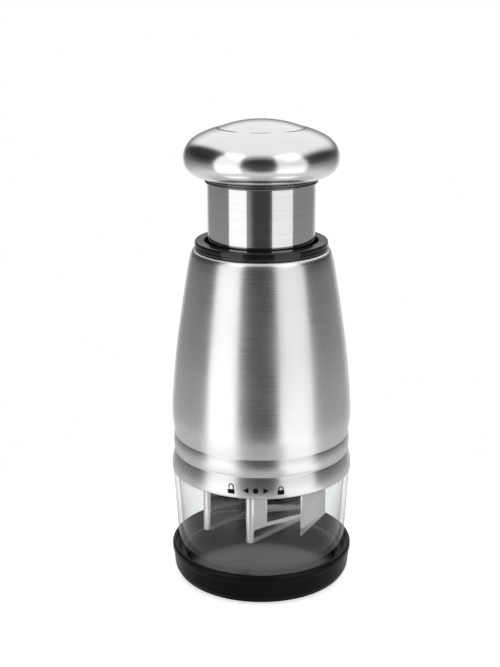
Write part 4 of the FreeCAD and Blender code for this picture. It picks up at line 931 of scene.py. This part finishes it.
drop = maths(sky, "POWER", fade(up, OVERHEAD, UNDERFOOT, 0.0, 1.0, "LINEAR"), DROP_CURVE)
walls = maths(sky, "ADD", product(drop, WALL_GREY), DARKEST)
walls = maths(sky, "MINIMUM", walls, fade(north, *FRONT_GAP, FRONT_GAP_LEVEL, 1.0))
print("nodes of the studio:", len(sky.nodes))

# %% The backdrop
LEAN_RIGHT, LEAN_LEFT = 0.42, 0.26
RIGHT_EDGE, LEFT_EDGE = (0.36, 0.66), (0.34, 0.52)
BACK_EDGE, LOW_EDGE = (-0.88, -0.36), (0.10, 0.45)
STRIP_LEVEL, BACKDROP_LEVEL = 0.27, 1.25
above = maths(sky, "MAXIMUM", up, 0.0)
to_the_right = maths(sky, "SUBTRACT", east, product(above, LEAN_RIGHT))
to_the_left = maths(sky, "SUBTRACT", product(east, -1.0), product(above, LEAN_LEFT))
sides = product(fade(to_the_right, *RIGHT_EDGE, 1.0, 0.0),
                fade(to_the_left, *LEFT_EDGE, 1.0, 0.0))
behind = product(sides, fade(north, *BACK_EDGE, 0.0, 1.0))
backdrop = product(behind, fade(up, *LOW_EDGE, STRIP_LEVEL, BACKDROP_LEVEL))
room = maths(sky, "MAXIMUM", walls, backdrop)
print("nodes with the backdrop:", len(sky.nodes))

# %% What the camera and the mirrors see as white
TABLE_EDGE, TABLE_LEVEL = (-0.06, 0.03), 0.7
rays = add_node(sky, "ShaderNodeLightPath")
seen = maths(sky, "MAXIMUM", rays.outputs["Is Camera Ray"],
             rays.outputs["Is Transmission Ray"])
table_behind = product(behind, fade(up, *TABLE_EDGE, TABLE_LEVEL, 0.0))
mirrored = product(rays.outputs["Is Glossy Ray"], table_behind)
glow = add_node(sky, "ShaderNodeMix", data_type="FLOAT")
sky.links.new(maths(sky, "MAXIMUM", seen, mirrored), glow.inputs[0])
sky.links.new(room, glow.inputs[2])
glow.inputs[3].default_value = 1.0
light = add_node(sky, "ShaderNodeBackground")
set_sockets(light, Color=(1.0, 1.0, 1.0, 1.0))
sky.links.new(glow.outputs[0], light.inputs["Strength"])
target = add_node(sky, "ShaderNodeOutputWorld")
sky.links.new(light.outputs[0], target.inputs["Surface"])
print("world nodes:", len(sky.nodes))

# %% [markdown]
# ## Soft boxes
#
# Each soft box is an area lamp three metres from the chopper. Its height and width decide how
# tall and how wide its white band is on the steel. The lamps stay out of the camera's sight.

# %% Two soft boxes
FAR, BOX_LOW, BOX_TOP = 3.0, -1.8, 4.6


def soft_box(name, azimuth, half_width, glow_level):
    """A tall soft box; the azimuth runs from the front to the right, in degrees."""
    let_go()
    angle = math.radians(azimuth)
    spot = (FAR * math.sin(angle), -FAR * math.cos(angle), (BOX_LOW + BOX_TOP) / 2.0)
    bpy.ops.object.light_add(type="AREA", location=spot,
                             rotation=(math.pi / 2, 0.0, angle))
    lamp = bpy.context.object
    lamp.name = name
    lamp.data.shape = "RECTANGLE"
    lamp.data.size = 2.0 * FAR * math.tan(math.radians(half_width))
    lamp.data.size_y = BOX_TOP - BOX_LOW
    lamp.data.energy = math.pi * glow_level * lamp.data.size * lamp.data.size_y
    lamp.visible_camera = False
    print(f"{name}: {lamp.data.size:.2f} by {lamp.data.size_y:.2f} m, "
          f"{lamp.data.energy:.1f} W")


soft_box("left_soft_box", -51.5, 20.5, 1.42)
soft_box("right_soft_box", 46.0, 23.5, 1.08)

# %% [markdown]
# ## The floor
#
# The chopper stands on a small pale disc. To the camera the disc is as white as the world
# round it, so its rim can't be seen, and it still takes the chopper's soft shadow. Mirrored
# in the steel, the floor shows two painted pools of light before the soft boxes: a glow
# that only mirror rays see, not light from the lamps.

# %% Floor
FLOOR_RADIUS = 0.2
let_go()
bpy.ops.mesh.primitive_circle_add(vertices=96, radius=FLOOR_RADIUS, fill_type="NGON",
                                  location=(0, 0, 0))
floor = bpy.context.object
floor.name = floor.data.name = "floor"
bpy.ops.object.mode_set(mode="EDIT")
bpy.ops.mesh.select_all(action="SELECT")
bpy.ops.mesh.inset(thickness=FLOOR_RADIUS / 2)
bpy.ops.object.mode_set(mode="OBJECT")
floor_finish, tree, shader = new_finish("pale_floor")
cloud = noise_of(tree, object_space(tree), 12.0, 2.0)
tree.links.new(two_colours(tree, cloud, (0.6, 0.6, 0.6), (0.63, 0.63, 0.63)),
               shader.inputs["Base Color"])
set_sockets(shader, Roughness=0.9, Specular_IOR_Level=0.2, Emission_Color=(1.0, 1.0, 1.0, 1.0))
print("floor radius", FLOOR_RADIUS, "m")

# %% The floor's own glow, and its two painted pools of light
# Painted light: for mirror rays the floor glows in two pools, in the bearings of the soft
# boxes and from about 0.1 m out.
SEEN_LEVEL, MIRRORED_LEVEL = 0.7, 0.12
PAINTED_POOL_LEVEL, OUTER_SHARE = 0.92, 0.9
POOL_INNER, POOL_OUTER, POOL_START = (0.40, 0.52), (1.15, 1.35), (0.09, 0.115)
path = add_node(tree, "ShaderNodeLightPath")
seen = maths(tree, "MAXIMUM", path.outputs["Is Camera Ray"],
             path.outputs["Is Transmission Ray"])
floor_x, floor_y, _, place = place_parts(tree)
bearing = maths(tree, "ARCTAN2", floor_x, maths(tree, "MULTIPLY", floor_y, -1.0))
aside = maths(tree, "ABSOLUTE", bearing)
# The painted pools of light: a mask by bearing towards each soft box.
painted_light_pools = maths(tree, "MULTIPLY", spread(tree, aside, 0.0, 1.0, *POOL_INNER),
              spread(tree, aside, OUTER_SHARE, 0.0, *POOL_OUTER))
reach = add_node(tree, "ShaderNodeVectorMath", operation="LENGTH")
tree.links.new(place, reach.inputs[0])
far_out = spread(tree, reach.outputs["Value"], 0.0, PAINTED_POOL_LEVEL, *POOL_START)
level = maths(tree, "MULTIPLY_ADD", painted_light_pools, far_out, MIRRORED_LEVEL)
# The floor glows white for the camera, and for mirror rays with the painted pools of light.
floor_glow_and_painted_pools = maths(tree, "MULTIPLY_ADD", path.outputs["Is Glossy Ray"], level,
                 maths(tree, "MULTIPLY", seen, SEEN_LEVEL))
tree.links.new(floor_glow_and_painted_pools, shader.inputs["Emission Strength"])
dress(floor, floor_finish)
print("floor nodes:", len(tree.nodes))

# %% [markdown]
# ## The camera
#
# The camera stands 0.6 m in front and 0.3 m up, and looks down by not quite 17 degrees. A
# long lens keeps the sides of the chamber nearly parallel. A small sideways shift puts the
# chopper a little right of the middle of the frame. Both are given in pixels of a picture
# 667 pixels high; Blender wants millimetres on the sensor, and a share of the height.

# %% Camera
CAMERA_BACK, CAMERA_UP, LOOK_DOWN = 0.5971, 0.3054, 16.58
SENSOR, PICTURE_HIGH = 36.0, 667.0
LENS_PIXELS, SHIFT_PIXELS = 1245.0, -11.4
let_go()
bpy.ops.object.camera_add(location=(0.0, -CAMERA_BACK, CAMERA_UP),
                          rotation=(math.radians(90.0 - LOOK_DOWN), 0.0, 0.0))
camera = bpy.context.object
camera.name = "camera"
camera.data.sensor_width = SENSOR
camera.data.lens = SENSOR * LENS_PIXELS / PICTURE_HIGH
camera.data.shift_x = SHIFT_PIXELS / PICTURE_HIGH
camera.data.clip_start = 0.01
bpy.context.scene.camera = camera
bpy.context.scene.view_settings.view_transform = "Standard"
print("lens", round(camera.data.lens, 2), "mm, shift", round(camera.data.shift_x, 4))

# %% [markdown]
# ## Finish
#
# The script ends in object mode with nothing selected.

# %% Finish
let_go()
